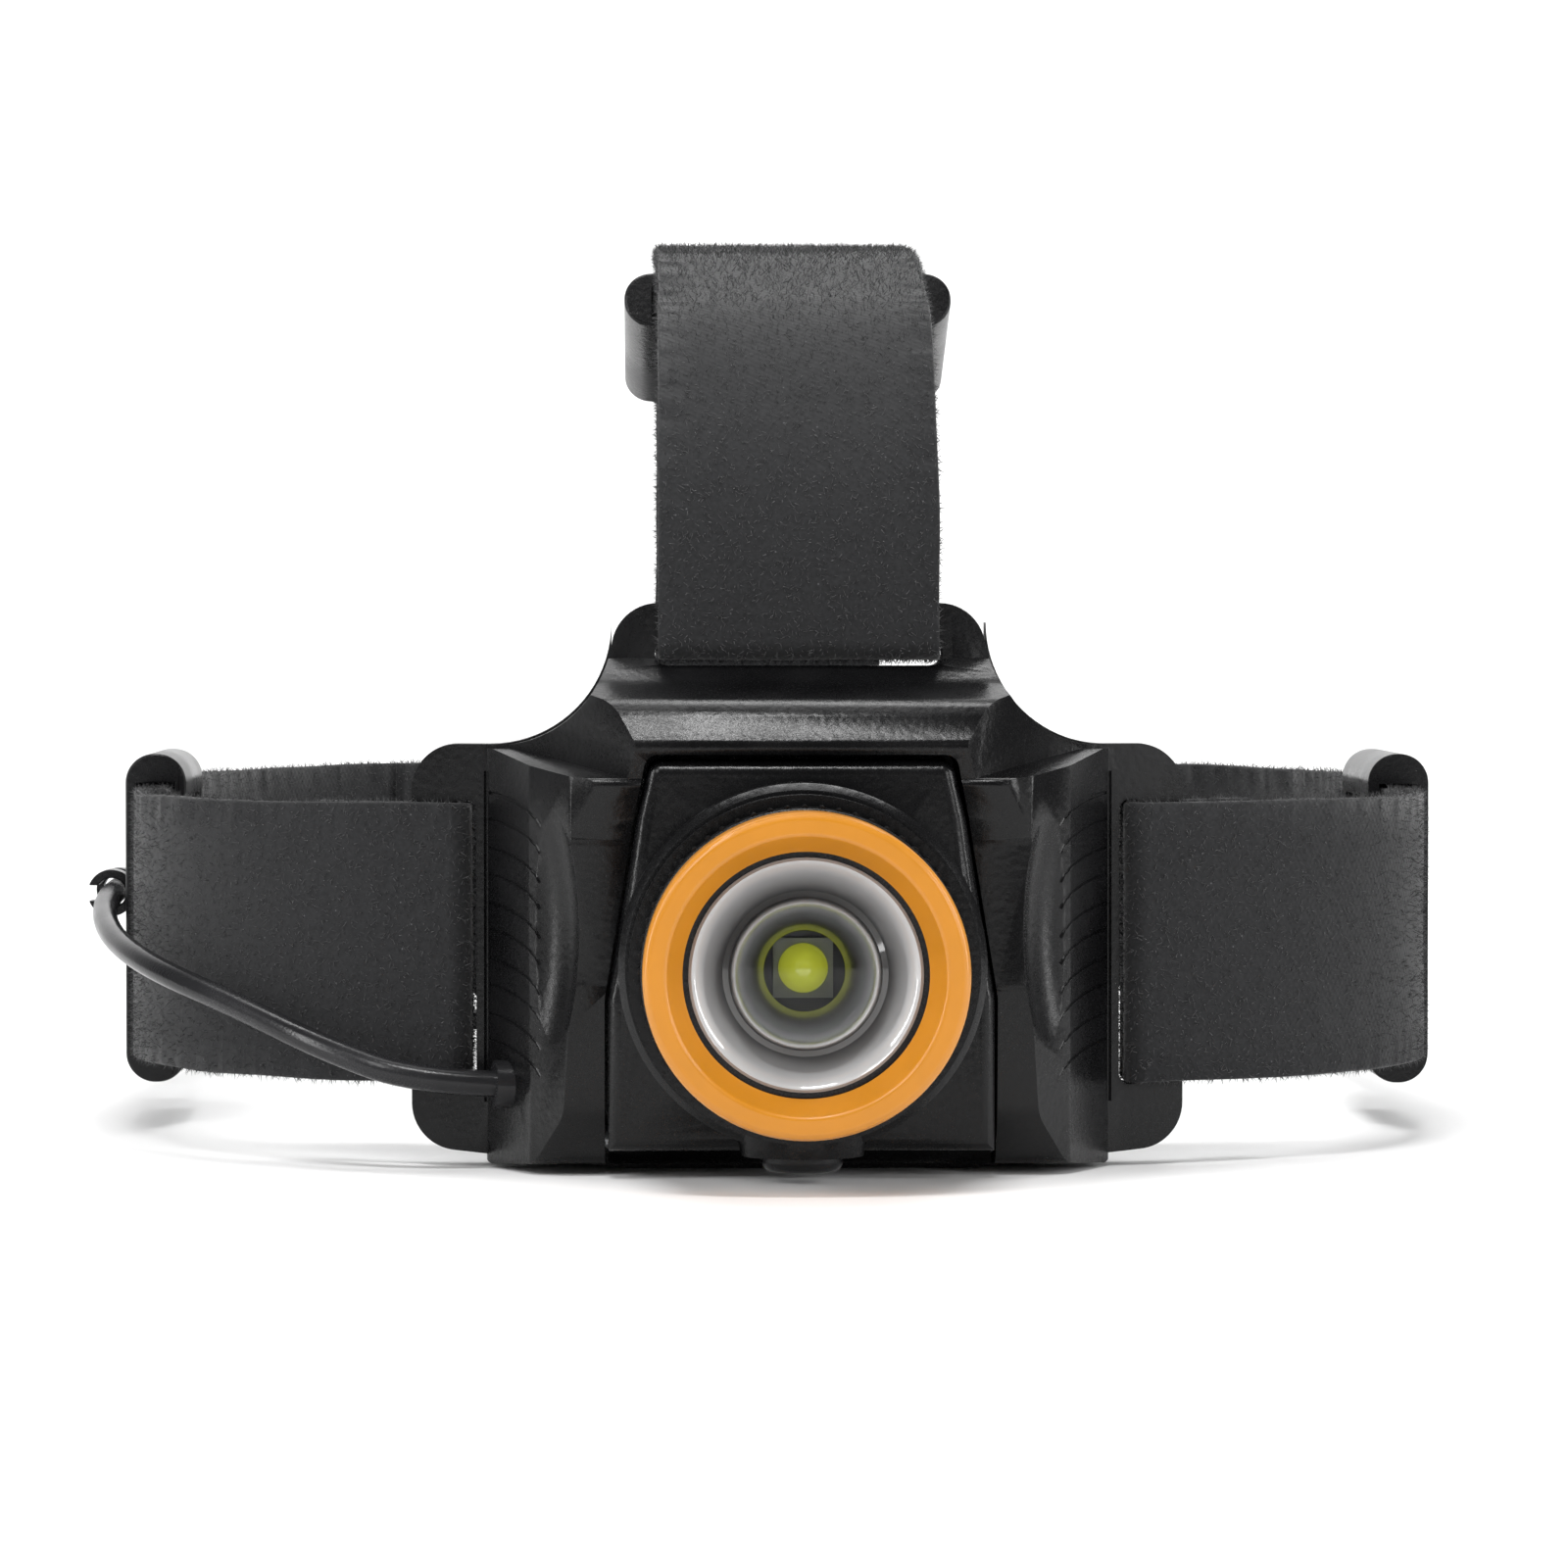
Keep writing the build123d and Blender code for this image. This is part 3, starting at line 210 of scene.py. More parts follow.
def build_dust_group():
    """Sparse pale specks, for dust on plastic and lint on fabric."""
    tree, inp, out = new_group(
        "Specks",
        [("Vector", "NodeSocketVector", None), ("Scale", "NodeSocketFloat", 900.0),
         ("Amount", "NodeSocketFloat", 0.1)],
        [("Mask", "NodeSocketFloat")])
    cells = node(tree, "ShaderNodeTexVoronoi",
                 {"Vector": inp.outputs["Vector"], "Scale": inp.outputs["Scale"]})
    size = node(tree, "ShaderNodeMath", {0: inp.outputs["Amount"], 1: cells.outputs["Distance"]},
                operation="GREATER_THAN")
    few = node(tree, "ShaderNodeSeparateColor", {0: cells.outputs["Color"]})
    keep = node(tree, "ShaderNodeMath", {0: few.outputs[0], 1: 0.72}, operation="GREATER_THAN")
    mask = node(tree, "ShaderNodeMath", {0: size.outputs[0], 1: keep.outputs[0]},
                operation="MULTIPLY")
    tree.links.new(mask.outputs[0], out.inputs["Mask"])
    return tree


def build_weave_group():
    """Interlaced threads, for the pads' fabric and the elastic's ground."""
    tree, inp, out = new_group(
        "Weave",
        [("Vector", "NodeSocketVector", None), ("Pitch", "NodeSocketFloat", 1400.0)],
        [("Height", "NodeSocketFloat"), ("Shade", "NodeSocketFloat")])
    scaled = node(tree, "ShaderNodeVectorMath",
                  {0: inp.outputs["Vector"], "Scale": inp.outputs["Pitch"]}, operation="SCALE")
    parts = node(tree, "ShaderNodeSeparateXYZ", {0: scaled.outputs[0]})
    along = node(tree, "ShaderNodeMath", {0: parts.outputs[0], 1: parts.outputs[1]},
                 operation="ADD")
    warp = node(tree, "ShaderNodeMath", {0: along.outputs[0]}, operation="SINE")
    weft = node(tree, "ShaderNodeMath", {0: parts.outputs[2]}, operation="SINE")
    mix = node(tree, "ShaderNodeMath", {0: warp.outputs[0], 1: weft.outputs[0]},
               operation="MULTIPLY")
    loose = node(tree, "ShaderNodeTexNoise",
                 {"Vector": inp.outputs["Vector"], "Scale": 2600.0, "Detail": 3.0})
    height = node(tree, "ShaderNodeMath", {0: mix.outputs[0], 1: 0.5, 2: loose.outputs["Fac"]},
                  operation="MULTIPLY_ADD")
    tree.links.new(height.outputs[0], out.inputs["Height"])
    tree.links.new(loose.outputs["Fac"], out.inputs["Shade"])
    return tree


def place_group(tree, group, links):
    """Puts a shared group into a material."""
    return node(tree, "ShaderNodeGroup", links, node_tree=bpy.data.node_groups[group])


def new_material(name, **sockets):
    """A material, its tree, its Principled shader with plain sockets set, and its coordinates."""
    material = bpy.data.materials.new(name)
    material.use_nodes = True
    tree = material.node_tree
    shader = tree.nodes["Principled BSDF"]
    for key, value in sockets.items():
        shader.inputs[key.replace("_", " ")].default_value = value
    coords = tree.nodes.new("ShaderNodeTexCoord").outputs["Object"]
    return material, tree, shader, coords


def shade_mix(tree, factor, dark, light):
    """A colour that runs from dark to light with a factor."""
    mix = tree.nodes.new("ShaderNodeMix")
    mix.data_type = "RGBA"
    mix.inputs["A"].default_value = (*dark, 1)
    mix.inputs["B"].default_value = (*light, 1)
    tree.links.new(factor, mix.inputs["Factor"])
    return mix.outputs["Result"]


def dust_over(tree, base, coords, scale, amount, tone):
    """Lays pale specks over a colour."""
    dust = place_group(tree, "Specks", {"Vector": coords, "Scale": scale, "Amount": amount})
    dusty = tree.nodes.new("ShaderNodeMix")
    dusty.data_type = "RGBA"
    dusty.inputs["B"].default_value = (*tone, 1)
    tree.links.new(dust.outputs["Mask"], dusty.inputs["Factor"])
    tree.links.new(base, dusty.inputs["A"])
    return dusty.outputs["Result"]


def bump(tree, shader, height, strength, distance):
    """Feeds a height to a shader's normal."""
    made = node(tree, "ShaderNodeBump",
                {"Height": height, "Strength": strength, "Distance": distance})
    tree.links.new(made.outputs["Normal"], shader.inputs["Normal"])


def moulded(name, colour, scale=1500.0, strength=0.35, wear=0.3, specks=0.0):
    """Moulded plastic with a fine grain, faint smudges and a little dust."""
    material, tree, shader, coords = new_material(name, Specular_IOR_Level=0.24)
    grain = place_group(tree, "MouldGrain", {"Vector": coords, "Scale": scale, "Wear": wear})
    lighter = [min(1.0, c * 1.5 + 0.002) for c in colour]
    base = shade_mix(tree, grain.outputs["Smudge"], colour, lighter)
    if specks:
        base = dust_over(tree, base, coords, 1100.0, specks, (0.16, 0.16, 0.16))
    tree.links.new(base, shader.inputs["Base Color"])
    tree.links.new(grain.outputs["Roughness"], shader.inputs["Roughness"])
    bump(tree, shader, grain.outputs["Height"], strength, 0.00012)
    return material


def polished(name, colour, roughness, wander=0.08, metallic=0.0, coat=0.0):
    """A smooth moulded or metal finish with a faint unevenness."""
    material, tree, shader, coords = new_material(name, Metallic=metallic, Coat_Weight=coat)
    haze = node(tree, "ShaderNodeTexNoise", {"Vector": coords, "Scale": 240.0, "Detail": 5.0})
    rough = node(tree, "ShaderNodeMapRange",
                 {"Value": haze.outputs["Fac"], "To Min": max(0.02, roughness - wander),
                  "To Max": roughness + wander})
    tree.links.new(rough.outputs["Result"], shader.inputs["Roughness"])
    tone = shade_mix(tree, haze.outputs["Fac"], [c * 0.9 for c in colour],
                     [min(1, c * 1.08) for c in colour])
    tree.links.new(tone, shader.inputs["Base Color"])
    bump(tree, shader, haze.outputs["Fac"], 0.05, 0.0001)
    return material


def painted_glow(name, colour, strength):
    """A translucent dome with a painted glow: a little emission keeps its colour bright in shade.
    """
    material = polished(name, colour, 0.18, coat=0.6)
    shader = material.node_tree.nodes["Principled BSDF"]
    # Painted light: emission that keeps the dome's colour bright where it lies in shade.
    shader.inputs["Emission Color"].default_value = (*colour, 1)
    shader.inputs["Emission Strength"].default_value = strength
    return material


def painted_shade_dish_finish(name):
    """The frosted grey dish, with painted highlights at its rims and painted shade in its trough
    and round the lamp.
    """
    material, tree, shader, coords = new_material(name, Coat_Weight=0.9, Coat_Roughness=0.04)
    centred = node(tree, "ShaderNodeVectorMath", {0: coords, 1: (0, 0, LAMP_Z)},
                   operation="SUBTRACT")
    flat = node(tree, "ShaderNodeVectorMath", {0: centred.outputs[0], 1: (1, 0, 1)},
                operation="MULTIPLY")
    radius = node(tree, "ShaderNodeVectorMath", {0: flat.outputs[0]}, operation="LENGTH")
    across = node(tree, "ShaderNodeMapRange",
                  {"Value": radius.outputs["Value"], "From Max": LENS_RADIUS * MM})
    haze = node(tree, "ShaderNodeTexNoise", {"Vector": coords, "Scale": 420.0, "Detail": 6.0})
    spot = node(tree, "ShaderNodeMath",
                {0: haze.outputs["Fac"], 1: 0.03, 2: across.outputs["Result"]},
                operation="MULTIPLY_ADD")
    # Painted shade and painted highlights in rings by radius: dark in the trough and round the
    # lamp, bright at the rims.
    painted_shade_ramp = tree.nodes.new("ShaderNodeValToRGB")
    painted_shade_bands = ((0.36, 0.012), (0.45, 0.05), (0.53, 0.16), (0.58, 0.34), (0.625, 0.40), (0.66, 0.04),
             (0.73, 0.07), (0.80, 0.18), (0.92, 0.34), (1.0, 0.42))
    stops = painted_shade_ramp.color_ramp.elements
    while len(stops) < len(painted_shade_bands):
        stops.new(0.5)
    for stop, (place, tone) in zip(stops, painted_shade_bands):
        stop.position = place
        stop.color = (tone, tone * 1.005, tone * 1.01, 1)
    tree.links.new(spot.outputs[0], painted_shade_ramp.inputs["Fac"])
    tree.links.new(painted_shade_ramp.outputs["Color"], shader.inputs["Base Color"])
    shader.inputs["Roughness"].default_value = 0.38
    bump(tree, shader, haze.outputs["Fac"], 0.06, 0.0001)
    return material


def fabric(name, colour, pitch, sheen, strength=0.35, lint=0.08):
    """Woven or napped cloth with a soft sheen and pale lint."""
    material, tree, shader, coords = new_material(
        name, Roughness=0.9, Sheen_Weight=sheen, Sheen_Roughness=0.45)
    shader.inputs["Specular IOR Level"].default_value = 0.15
    weave = place_group(tree, "Weave", {"Vector": coords, "Pitch": pitch})
    base = shade_mix(tree, weave.outputs["Shade"], [c * 0.45 for c in colour],
                     [c * 1.9 for c in colour])
    dusty = dust_over(tree, base, coords, 850.0, lint, (0.09, 0.09, 0.095))
    tree.links.new(dusty, shader.inputs["Base Color"])
    bump(tree, shader, weave.outputs["Height"], strength, 0.0002)
    return material


def pile_finish(name, colour):
    """The elastic's fibres: dark, with some paler ones."""
    material, tree, shader, coords = new_material(name, Roughness=0.75, Sheen_Weight=0.25)
    spots = node(tree, "ShaderNodeTexNoise", {"Vector": coords, "Scale": 1700.0, "Detail": 2.0})
    sharp = node(tree, "ShaderNodeMapRange",
                 {"Value": spots.outputs["Fac"], "From Min": 0.38, "From Max": 0.68})
    base = shade_mix(tree, sharp.outputs["Result"], [c * 0.5 for c in colour],
                     [c * 2.6 for c in colour])
    tree.links.new(base, shader.inputs["Base Color"])
    return material


def clear_finish(name, roughness, tint=(0.97, 0.98, 0.99), ior=1.49):
    """Clear moulded plastic."""
    material, tree, shader, coords = new_material(name, Transmission_Weight=1.0, IOR=ior)
    haze = node(tree, "ShaderNodeTexNoise", {"Vector": coords, "Scale": 300.0, "Detail": 3.0})
    rough = node(tree, "ShaderNodeMapRange",
                 {"Value": haze.outputs["Fac"], "To Min": roughness * 0.5,
                  "To Max": roughness * 1.5})
    tree.links.new(rough.outputs["Result"], shader.inputs["Roughness"])
    shader.inputs["Base Color"].default_value = (*tint, 1)
    return material


def build_finishes():
    """Makes every finish of the headlamp."""
    finish = bpy.context.scene.headlamp_finish
    black = list(finish.housing)
    build_grain_group()
    build_dust_group()
    build_weave_group()
    return {
        "housing": moulded("HousingGrain", black, strength=0.22),
        "grip": moulded("GripGrain", black, scale=1100.0, strength=0.8, wear=0.4),
        "hardware": moulded("SliderPlastic", [c * 1.3 for c in black], scale=1900.0, strength=0.2,
                            specks=0.05),
        "inner": moulded("InnerPlastic", [0.016, 0.016, 0.017], scale=2400.0, strength=0.2),
        "rubber": moulded("CableRubber", [0.012, 0.012, 0.013], scale=3000.0, strength=0.12,
                          wear=0.2),
        "ring": polished("RingOrange", list(finish.ring), 0.36, coat=0.15),
        "steel": polished("ScrewSteel", (0.55, 0.56, 0.58), 0.3, metallic=1.0),
        "aluminium": polished("SinkAluminium", (0.72, 0.73, 0.75), 0.38, metallic=1.0),
        "circuit": polished("CircuitGreen", (0.02, 0.10, 0.04), 0.35),
        "package": polished("LampBase", (0.24, 0.25, 0.20), 0.4),
        "lamp": painted_glow("LampDome", list(finish.lamp), 0.35),
        "frost_and_painted_shade": painted_shade_dish_finish("FrostedDishPaintedShade"),
        "substrate": polished("LampSubstrate", (0.03, 0.03, 0.031), 0.4),
        "jacket": polished("CellJacket", (0.05, 0.06, 0.09), 0.25, metallic=0.3, coat=0.4),
        "strap": fabric("ElasticGround", list(finish.strap), 5200.0, 0.2, strength=0.15),
        "pile": pile_finish("ElasticPile", list(finish.strap)),
        "pad": fabric("PadCloth", [0.022, 0.023, 0.026], 3600.0, 0.15),
        "thread": fabric("SeamThread", [0.03, 0.031, 0.035], 9000.0, 0.2),
        "lens": clear_finish("LensClear", 0.02, ior=1.22),
    }


FINISHES = {}


# ------------------------------------------------------------------ shared making


def finish_node(name, finish):
    """Gives a carried-over CAD node its finish."""
    cad = bpy.data.objects[name]
    if not cad.material_slots:
        cad.data.materials.append(None)
    for place in cad.material_slots:
        place.link = "OBJECT"
        place.material = FINISHES[finish]


def merged_copy(node_name):
    """A CAD node's shape as a welded bmesh with its flat faces whole again."""
    bm = bmesh.new()
    bm.from_mesh(bpy.data.objects[node_name].data)
    bmesh.ops.remove_doubles(bm, verts=bm.verts, dist=0.002 * MM)
    bmesh.ops.dissolve_limit(bm, angle_limit=math.radians(0.4), verts=bm.verts, edges=bm.edges)
    bmesh.ops.dissolve_degenerate(bm, dist=0.004 * MM, edges=bm.edges)
    return bm


def shade(mesh, smooth):
    """Shades a mesh smooth, but for edges sharper than an angle in degrees."""
    mesh.polygons.foreach_set("use_smooth", [True] * len(mesh.polygons))
    mesh.set_sharp_from_angle(angle=math.radians(smooth))


def link_piece(name, bm, finish, smooth=32.0):
    """Turns a bmesh into a piece at the origin with one finish."""
    mesh = bpy.data.meshes.new(name)
    bm.to_mesh(mesh)
    bm.free()
    shade(mesh, smooth)
    mesh.materials.append(FINISHES[finish])
    piece = bpy.data.objects.new(name, mesh)
    bpy.context.scene.collection.objects.link(piece)
    return piece


def settle(piece):
    """Turns a piece and its modifiers into a plain mesh."""
    graph = bpy.context.evaluated_depsgraph_get()
    graph.update()
    mesh = bpy.data.meshes.new_from_object(piece.evaluated_get(graph), depsgraph=graph)
    old = piece.data
    piece.modifiers.clear()
    piece.data = mesh
    if old.users == 0:
        bpy.data.meshes.remove(old)
    return piece


def soften(piece, width, angle=38.0, segments=2):
    """Rounds a piece's sharp edges."""
    bevel = piece.modifiers.new("Rounding", "BEVEL")
    bevel.width = width
    bevel.segments = segments
    bevel.limit_method = "ANGLE"
    bevel.angle_limit = math.radians(angle)
    bevel.use_clamp_overlap = True
    bevel.harden_normals = True
    return settle(piece)


def moulded_piece(node_name, name, finish, body, width=0.3 * MM):
    """A CAD node made again with rounded edges, in place of the plain one."""
    piece = soften(link_piece(name, merged_copy(node_name), finish), width)
    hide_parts(node_name)
    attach(piece, body)
    return piece


def tube_into(bm, path, radius, sides=8):
    """Adds a closed tube along a path of points to a bmesh."""
    rings = []
    for index, point in enumerate(path):
        before = path[max(0, index - 1)]
        after = path[min(len(path) - 1, index + 1)]
        turn = (after - before).normalized().to_track_quat("Z", "Y")
        ring = []
        for side in range(sides):
            angle = 2 * math.pi * side / sides
            spoke = Vector((math.cos(angle), math.sin(angle), 0))
            ring.append(bm.verts.new(point + turn @ spoke * radius))
        rings.append(ring)
    for first, second in zip(rings, rings[1:]):
        for side in range(sides):
            after = (side + 1) % sides
            bm.faces.new((first[side], first[after], second[after], second[side]))
    bm.faces.new(list(reversed(rings[0])))
    bm.faces.new(rings[-1])


def carve(piece, cutter_bm, name):
    """Cuts a bmesh's closed shapes out of a piece."""
    bmesh.ops.recalc_face_normals(cutter_bm, faces=cutter_bm.faces)
    mesh = bpy.data.meshes.new(name)
    cutter_bm.to_mesh(mesh)
    cutter_bm.free()
    cutter = bpy.data.objects.new(name, mesh)
    bpy.context.scene.collection.objects.link(cutter)
    cut = piece.modifiers.new("Cut", "BOOLEAN")
    cut.operation = "DIFFERENCE"
    cut.solver = "EXACT"
    cut.use_self = True
    cut.object = cutter
    settle(piece)
    bpy.data.objects.remove(cutter)
    bpy.data.meshes.remove(mesh)


def lathe(name, profile, finish, steps=96, smooth=40.0):
    """A closed solid turned about the lamp's axis from (radius, depth) corners in millimetres."""
    bm = bmesh.new()
    rings = []
    for step in range(steps):
        angle = 2 * math.pi * step / steps
        ring = []
        for radius, depth in profile:
            place = (radius * MM * math.cos(angle), depth * MM,
                     LAMP_Z + radius * MM * math.sin(angle))
            ring.append(bm.verts.new(place))
        rings.append(ring)
    for ring, after in zip(rings, rings[1:] + rings[:1]):
        for corner in range(len(profile)):
            following = (corner + 1) % len(profile)
            bm.faces.new((ring[corner], ring[following], after[following], after[corner]))
    bmesh.ops.remove_doubles(bm, verts=bm.verts, dist=0.001 * MM)
    bmesh.ops.dissolve_degenerate(bm, dist=0.001 * MM, edges=bm.edges)
    bmesh.ops.recalc_face_normals(bm, faces=bm.faces)
    return link_piece(name, bm, finish, smooth)


def drop_on(piece, start, way):
    """Where a ray from start first meets a piece."""
    hit, place, _, _ = piece.ray_cast(Vector(start), Vector(way))
    return place if hit else None


# ------------------------------------------------------------------ geometry trees


def new_tree(name, inputs):
    """A geometry tree with its own inputs between a Geometry in and a Geometry out."""
    tree = bpy.data.node_groups.new(name, "GeometryNodeTree")
    tree.interface.new_socket("Geometry", in_out="INPUT", socket_type="NodeSocketGeometry")
    for label, kind, value in inputs:
        socket = tree.interface.new_socket(label, in_out="INPUT", socket_type=kind)
        if value is not None:
            socket.default_value = value
    tree.interface.new_socket("Geometry", in_out="OUTPUT", socket_type="NodeSocketGeometry")
    return tree, tree.nodes.new("NodeGroupInput"), tree.nodes.new("NodeGroupOutput")


def end_tree(tree, out, geometry, finish):
    """Ends a geometry tree in Realize Instances and Set Material."""
    plain = node(tree, "GeometryNodeRealizeInstances", {"Geometry": geometry})
    coat = node(tree, "GeometryNodeSetMaterial", {"Geometry": plain.outputs["Geometry"]})
    coat.inputs["Material"].default_value = FINISHES[finish]
    tree.links.new(coat.outputs["Geometry"], out.inputs["Geometry"])


def run_tree(source_bm, name, tree, values, smooth=60.0):
    """Runs a geometry tree over a bmesh and returns the result as a plain piece."""
    mesh = bpy.data.meshes.new(name)
    source_bm.to_mesh(mesh)
    source_bm.free()
    piece = bpy.data.objects.new(name, mesh)
    bpy.context.scene.collection.objects.link(piece)
    grow = piece.modifiers.new("Repeat", "NODES")
    grow.node_group = tree
    for item in tree.interface.items_tree:
        if item.item_type == "SOCKET" and item.in_out == "INPUT" and item.name in values:
            grow[item.identifier] = values[item.name]
    settle(piece)
    shade(piece.data, smooth)
    return piece


def pile_tree(finish):
    """Short fibres standing all over a cloth's faces."""
    tree, inp, out = new_tree("PileFibres", [
        ("Density", "NodeSocketFloat", 1e6), ("Length", "NodeSocketFloat", 0.5 * MM),
        ("Radius", "NodeSocketFloat", 0.05 * MM), ("Seed", "NodeSocketInt", 1)])
    spread = node(tree, "GeometryNodeDistributePointsOnFaces",
                  {"Mesh": inp.outputs["Geometry"], "Density": inp.outputs["Density"],
                   "Seed": inp.outputs["Seed"]})
    spike = node(tree, "GeometryNodeMeshCone",
                 {"Vertices": 3, "Radius Bottom": inp.outputs["Radius"], "Radius Top": 0.0,
                  "Depth": inp.outputs["Length"]}, fill_type="NONE")
    lean = node(tree, "FunctionNodeRandomValue", {"Seed": 5}, data_type="FLOAT_VECTOR")
    lean.inputs[0].default_value = (-0.95, -0.95, -3.1)
    lean.inputs[1].default_value = (0.95, 0.95, 3.1)
    stand = node(tree, "FunctionNodeRotateRotation",
                 {"Rotation": spread.outputs["Rotation"], "Rotate By": lean.outputs[0]},
                 rotation_space="LOCAL")
    size = node(tree, "FunctionNodeRandomValue", {"Seed": 9}, data_type="FLOAT")
    size.inputs[2].default_value = 0.5
    size.inputs[3].default_value = 1.25
    grow = node(tree, "GeometryNodeInstanceOnPoints",
                {"Points": spread.outputs["Points"], "Instance": spike.outputs["Mesh"],
                 "Rotation": stand.outputs["Rotation"], "Scale": size.outputs[1]})
    end_tree(tree, out, grow.outputs["Instances"], finish)
    return tree


def stitch_tree(finish):
    """Short rounded stitches at a line's vertices, turned along the line."""
    tree, inp, out = new_tree("StitchRow", [
        ("Length", "NodeSocketFloat", 1.7 * MM), ("Radius", "NodeSocketFloat", 0.16 * MM)])
    bead = node(tree, "GeometryNodeMeshIcoSphere",
                {"Radius": inp.outputs["Radius"], "Subdivisions": 2})
    stretch = node(tree, "ShaderNodeMath", {0: inp.outputs["Length"], 1: inp.outputs["Radius"]},
                   operation="DIVIDE")
    half = node(tree, "ShaderNodeMath", {0: stretch.outputs[0], 1: 0.5}, operation="MULTIPLY")
    shape = node(tree, "ShaderNodeCombineXYZ", {"X": 1.0, "Y": 1.0, "Z": half.outputs[0]})
    longer = node(tree, "GeometryNodeTransform",
                  {"Geometry": bead.outputs["Mesh"], "Scale": shape.outputs[0]})
    line = node(tree, "GeometryNodeMeshToCurve", {"Mesh": inp.outputs["Geometry"]})
    knots = node(tree, "GeometryNodeCurveToPoints", {"Curve": line.outputs["Curve"]},
                 mode="EVALUATED")
    turn = node(tree, "FunctionNodeAlignRotationToVector", {"Vector": knots.outputs["Tangent"]},
                axis="Z")
    sewn = node(tree, "GeometryNodeInstanceOnPoints",
                {"Points": knots.outputs["Points"], "Instance": longer.outputs["Geometry"],
                 "Rotation": turn.outputs["Rotation"]})
    end_tree(tree, out, sewn.outputs["Instances"], finish)
    return tree


def rib_tree(finish):
    """A ring of equal ribs about the lamp's axis, each with a rounded back."""
    tree, inp, out = new_tree("RibRing", [
        ("Count", "NodeSocketInt", 48), ("Ring radius", "NodeSocketFloat", 17 * MM),
        ("Rib radius", "NodeSocketFloat", 0.4 * MM), ("Length", "NodeSocketFloat", 5 * MM),
        ("Centre", "NodeSocketVector", None)])
    circle = node(tree, "GeometryNodeMeshCircle",
                  {"Vertices": inp.outputs["Count"], "Radius": inp.outputs["Ring radius"]})
    turned = node(tree, "GeometryNodeTransform",
                  {"Geometry": circle.outputs["Mesh"], "Translation": inp.outputs["Centre"],
                   "Rotation": (math.pi / 2, 0, 0)})
    rib = node(tree, "GeometryNodeMeshCylinder",
               {"Vertices": 10, "Radius": inp.outputs["Rib radius"],
                "Depth": inp.outputs["Length"]})
    laid = node(tree, "GeometryNodeTransform",
                {"Geometry": rib.outputs["Mesh"], "Rotation": (math.pi / 2, 0, 0)})
    ring = node(tree, "GeometryNodeInstanceOnPoints",
                {"Points": turned.outputs["Geometry"], "Instance": laid.outputs["Geometry"]})
    both = node(tree, "GeometryNodeJoinGeometry")
    tree.links.new(ring.outputs["Instances"], both.inputs["Geometry"])
    tree.links.new(inp.outputs["Geometry"], both.inputs["Geometry"])
    end_tree(tree, out, both.outputs["Geometry"], finish)
    return tree


# ------------------------------------------------------------------ operators


class HEADLAMP_OT_stage(bpy.types.Operator):
    """Make the floor, the studio lights and the camera"""

    bl_idname = "headlamp.stage"
    bl_label = "Stage"

    def execute(self, context):
        stage = context.scene.headlamp_stage
        lens = bpy.data.cameras.new("Camera")
        lens.lens = stage.lens
        lens.sensor_width = 36.0
        lens.clip_end = 20.0
        camera = bpy.data.objects.new("Camera", lens)
        camera.location = stage.camera
        camera.rotation_euler = Euler((math.pi / 2 - stage.pitch, 0, -stage.yaw))
        context.scene.collection.objects.link(camera)
        context.scene.camera = camera
        self.floor(context)
        self.light(context, "Key", (-0.70, -0.85, 0.80), 0.30, 0.50, 5.5)
        self.light(context, "LeftStrip", (-0.95, -0.30, 0.30), 0.10, 0.80, 5.0)
        self.light(context, "RightStrip", (0.95, -0.25, 0.30), 0.10, 0.80, 5.0)
        self.light(context, "Brow", (-0.10, -0.50, 1.05), 0.35, 0.12, 6.5)
        self.light(context, "Fill", (0.75, -0.85, 0.35), 0.22, 0.40, 3.2)
        self.light(context, "Top", (0.0, 0.15, 0.95), 0.5, 0.4, 2.2)
        self.light(context, "Back", (0.0, 0.55, 1.60), 1.6, 0.5, 24.0, (0.0, 1.5, 0.2))
        world = bpy.data.worlds.new("Studio")
        world.use_nodes = True
        world.node_tree.nodes["Background"].inputs["Color"].default_value = (1, 1, 1, 1)
        world.node_tree.nodes["Background"].inputs["Strength"].default_value = 0.12
        context.scene.world = world
        context.scene.view_settings.view_transform = "Standard"
        return {"FINISHED"}

    def floor(self, context):
        """A pale floor that curves up behind the object."""
        bm = bmesh.new()
        profile = [(-3.0, 0.0), (0.9, 0.0)]
        for step in range(1, 13):
            angle = math.pi / 2 * step / 12
            profile.append((0.9 + 0.6 * math.sin(angle), 0.6 - 0.6 * math.cos(angle)))
        profile.append((1.5, 3.0))
        rows = [[bm.verts.new((x, y, z)) for x in (-4.0, 4.0)] for y, z in profile]
        for low, high in zip(rows, rows[1:]):
            bm.faces.new((low[0], low[1], high[1], high[0]))
        material, tree, shader, coords = new_material("FloorPale", Roughness=0.65)
        cloud = node(tree, "ShaderNodeTexNoise", {"Vector": coords, "Scale": 3.0, "Detail": 3.0})
        tone = shade_mix(tree, cloud.outputs["Fac"], (0.86, 0.86, 0.86), (0.90, 0.90, 0.90))
        tree.links.new(tone, shader.inputs["Base Color"])
        FINISHES["floor"] = material
        link_piece("Floor", bm, "floor")

    def light(self, context, name, place, width, height, power, target=(0.0, 0.03, 0.03)):
        """A soft rectangular light aimed at the object or at another place."""
        data = bpy.data.lights.new(name, "AREA")
        data.shape = "RECTANGLE"
        data.size = width
        data.size_y = height
        data.energy = power
        lamp = bpy.data.objects.new(name, data)
        lamp.location = place
        aim = Vector(target) - Vector(place)
        lamp.rotation_euler = aim.to_track_quat("-Z", "Y").to_euler()
        context.scene.collection.objects.link(lamp)


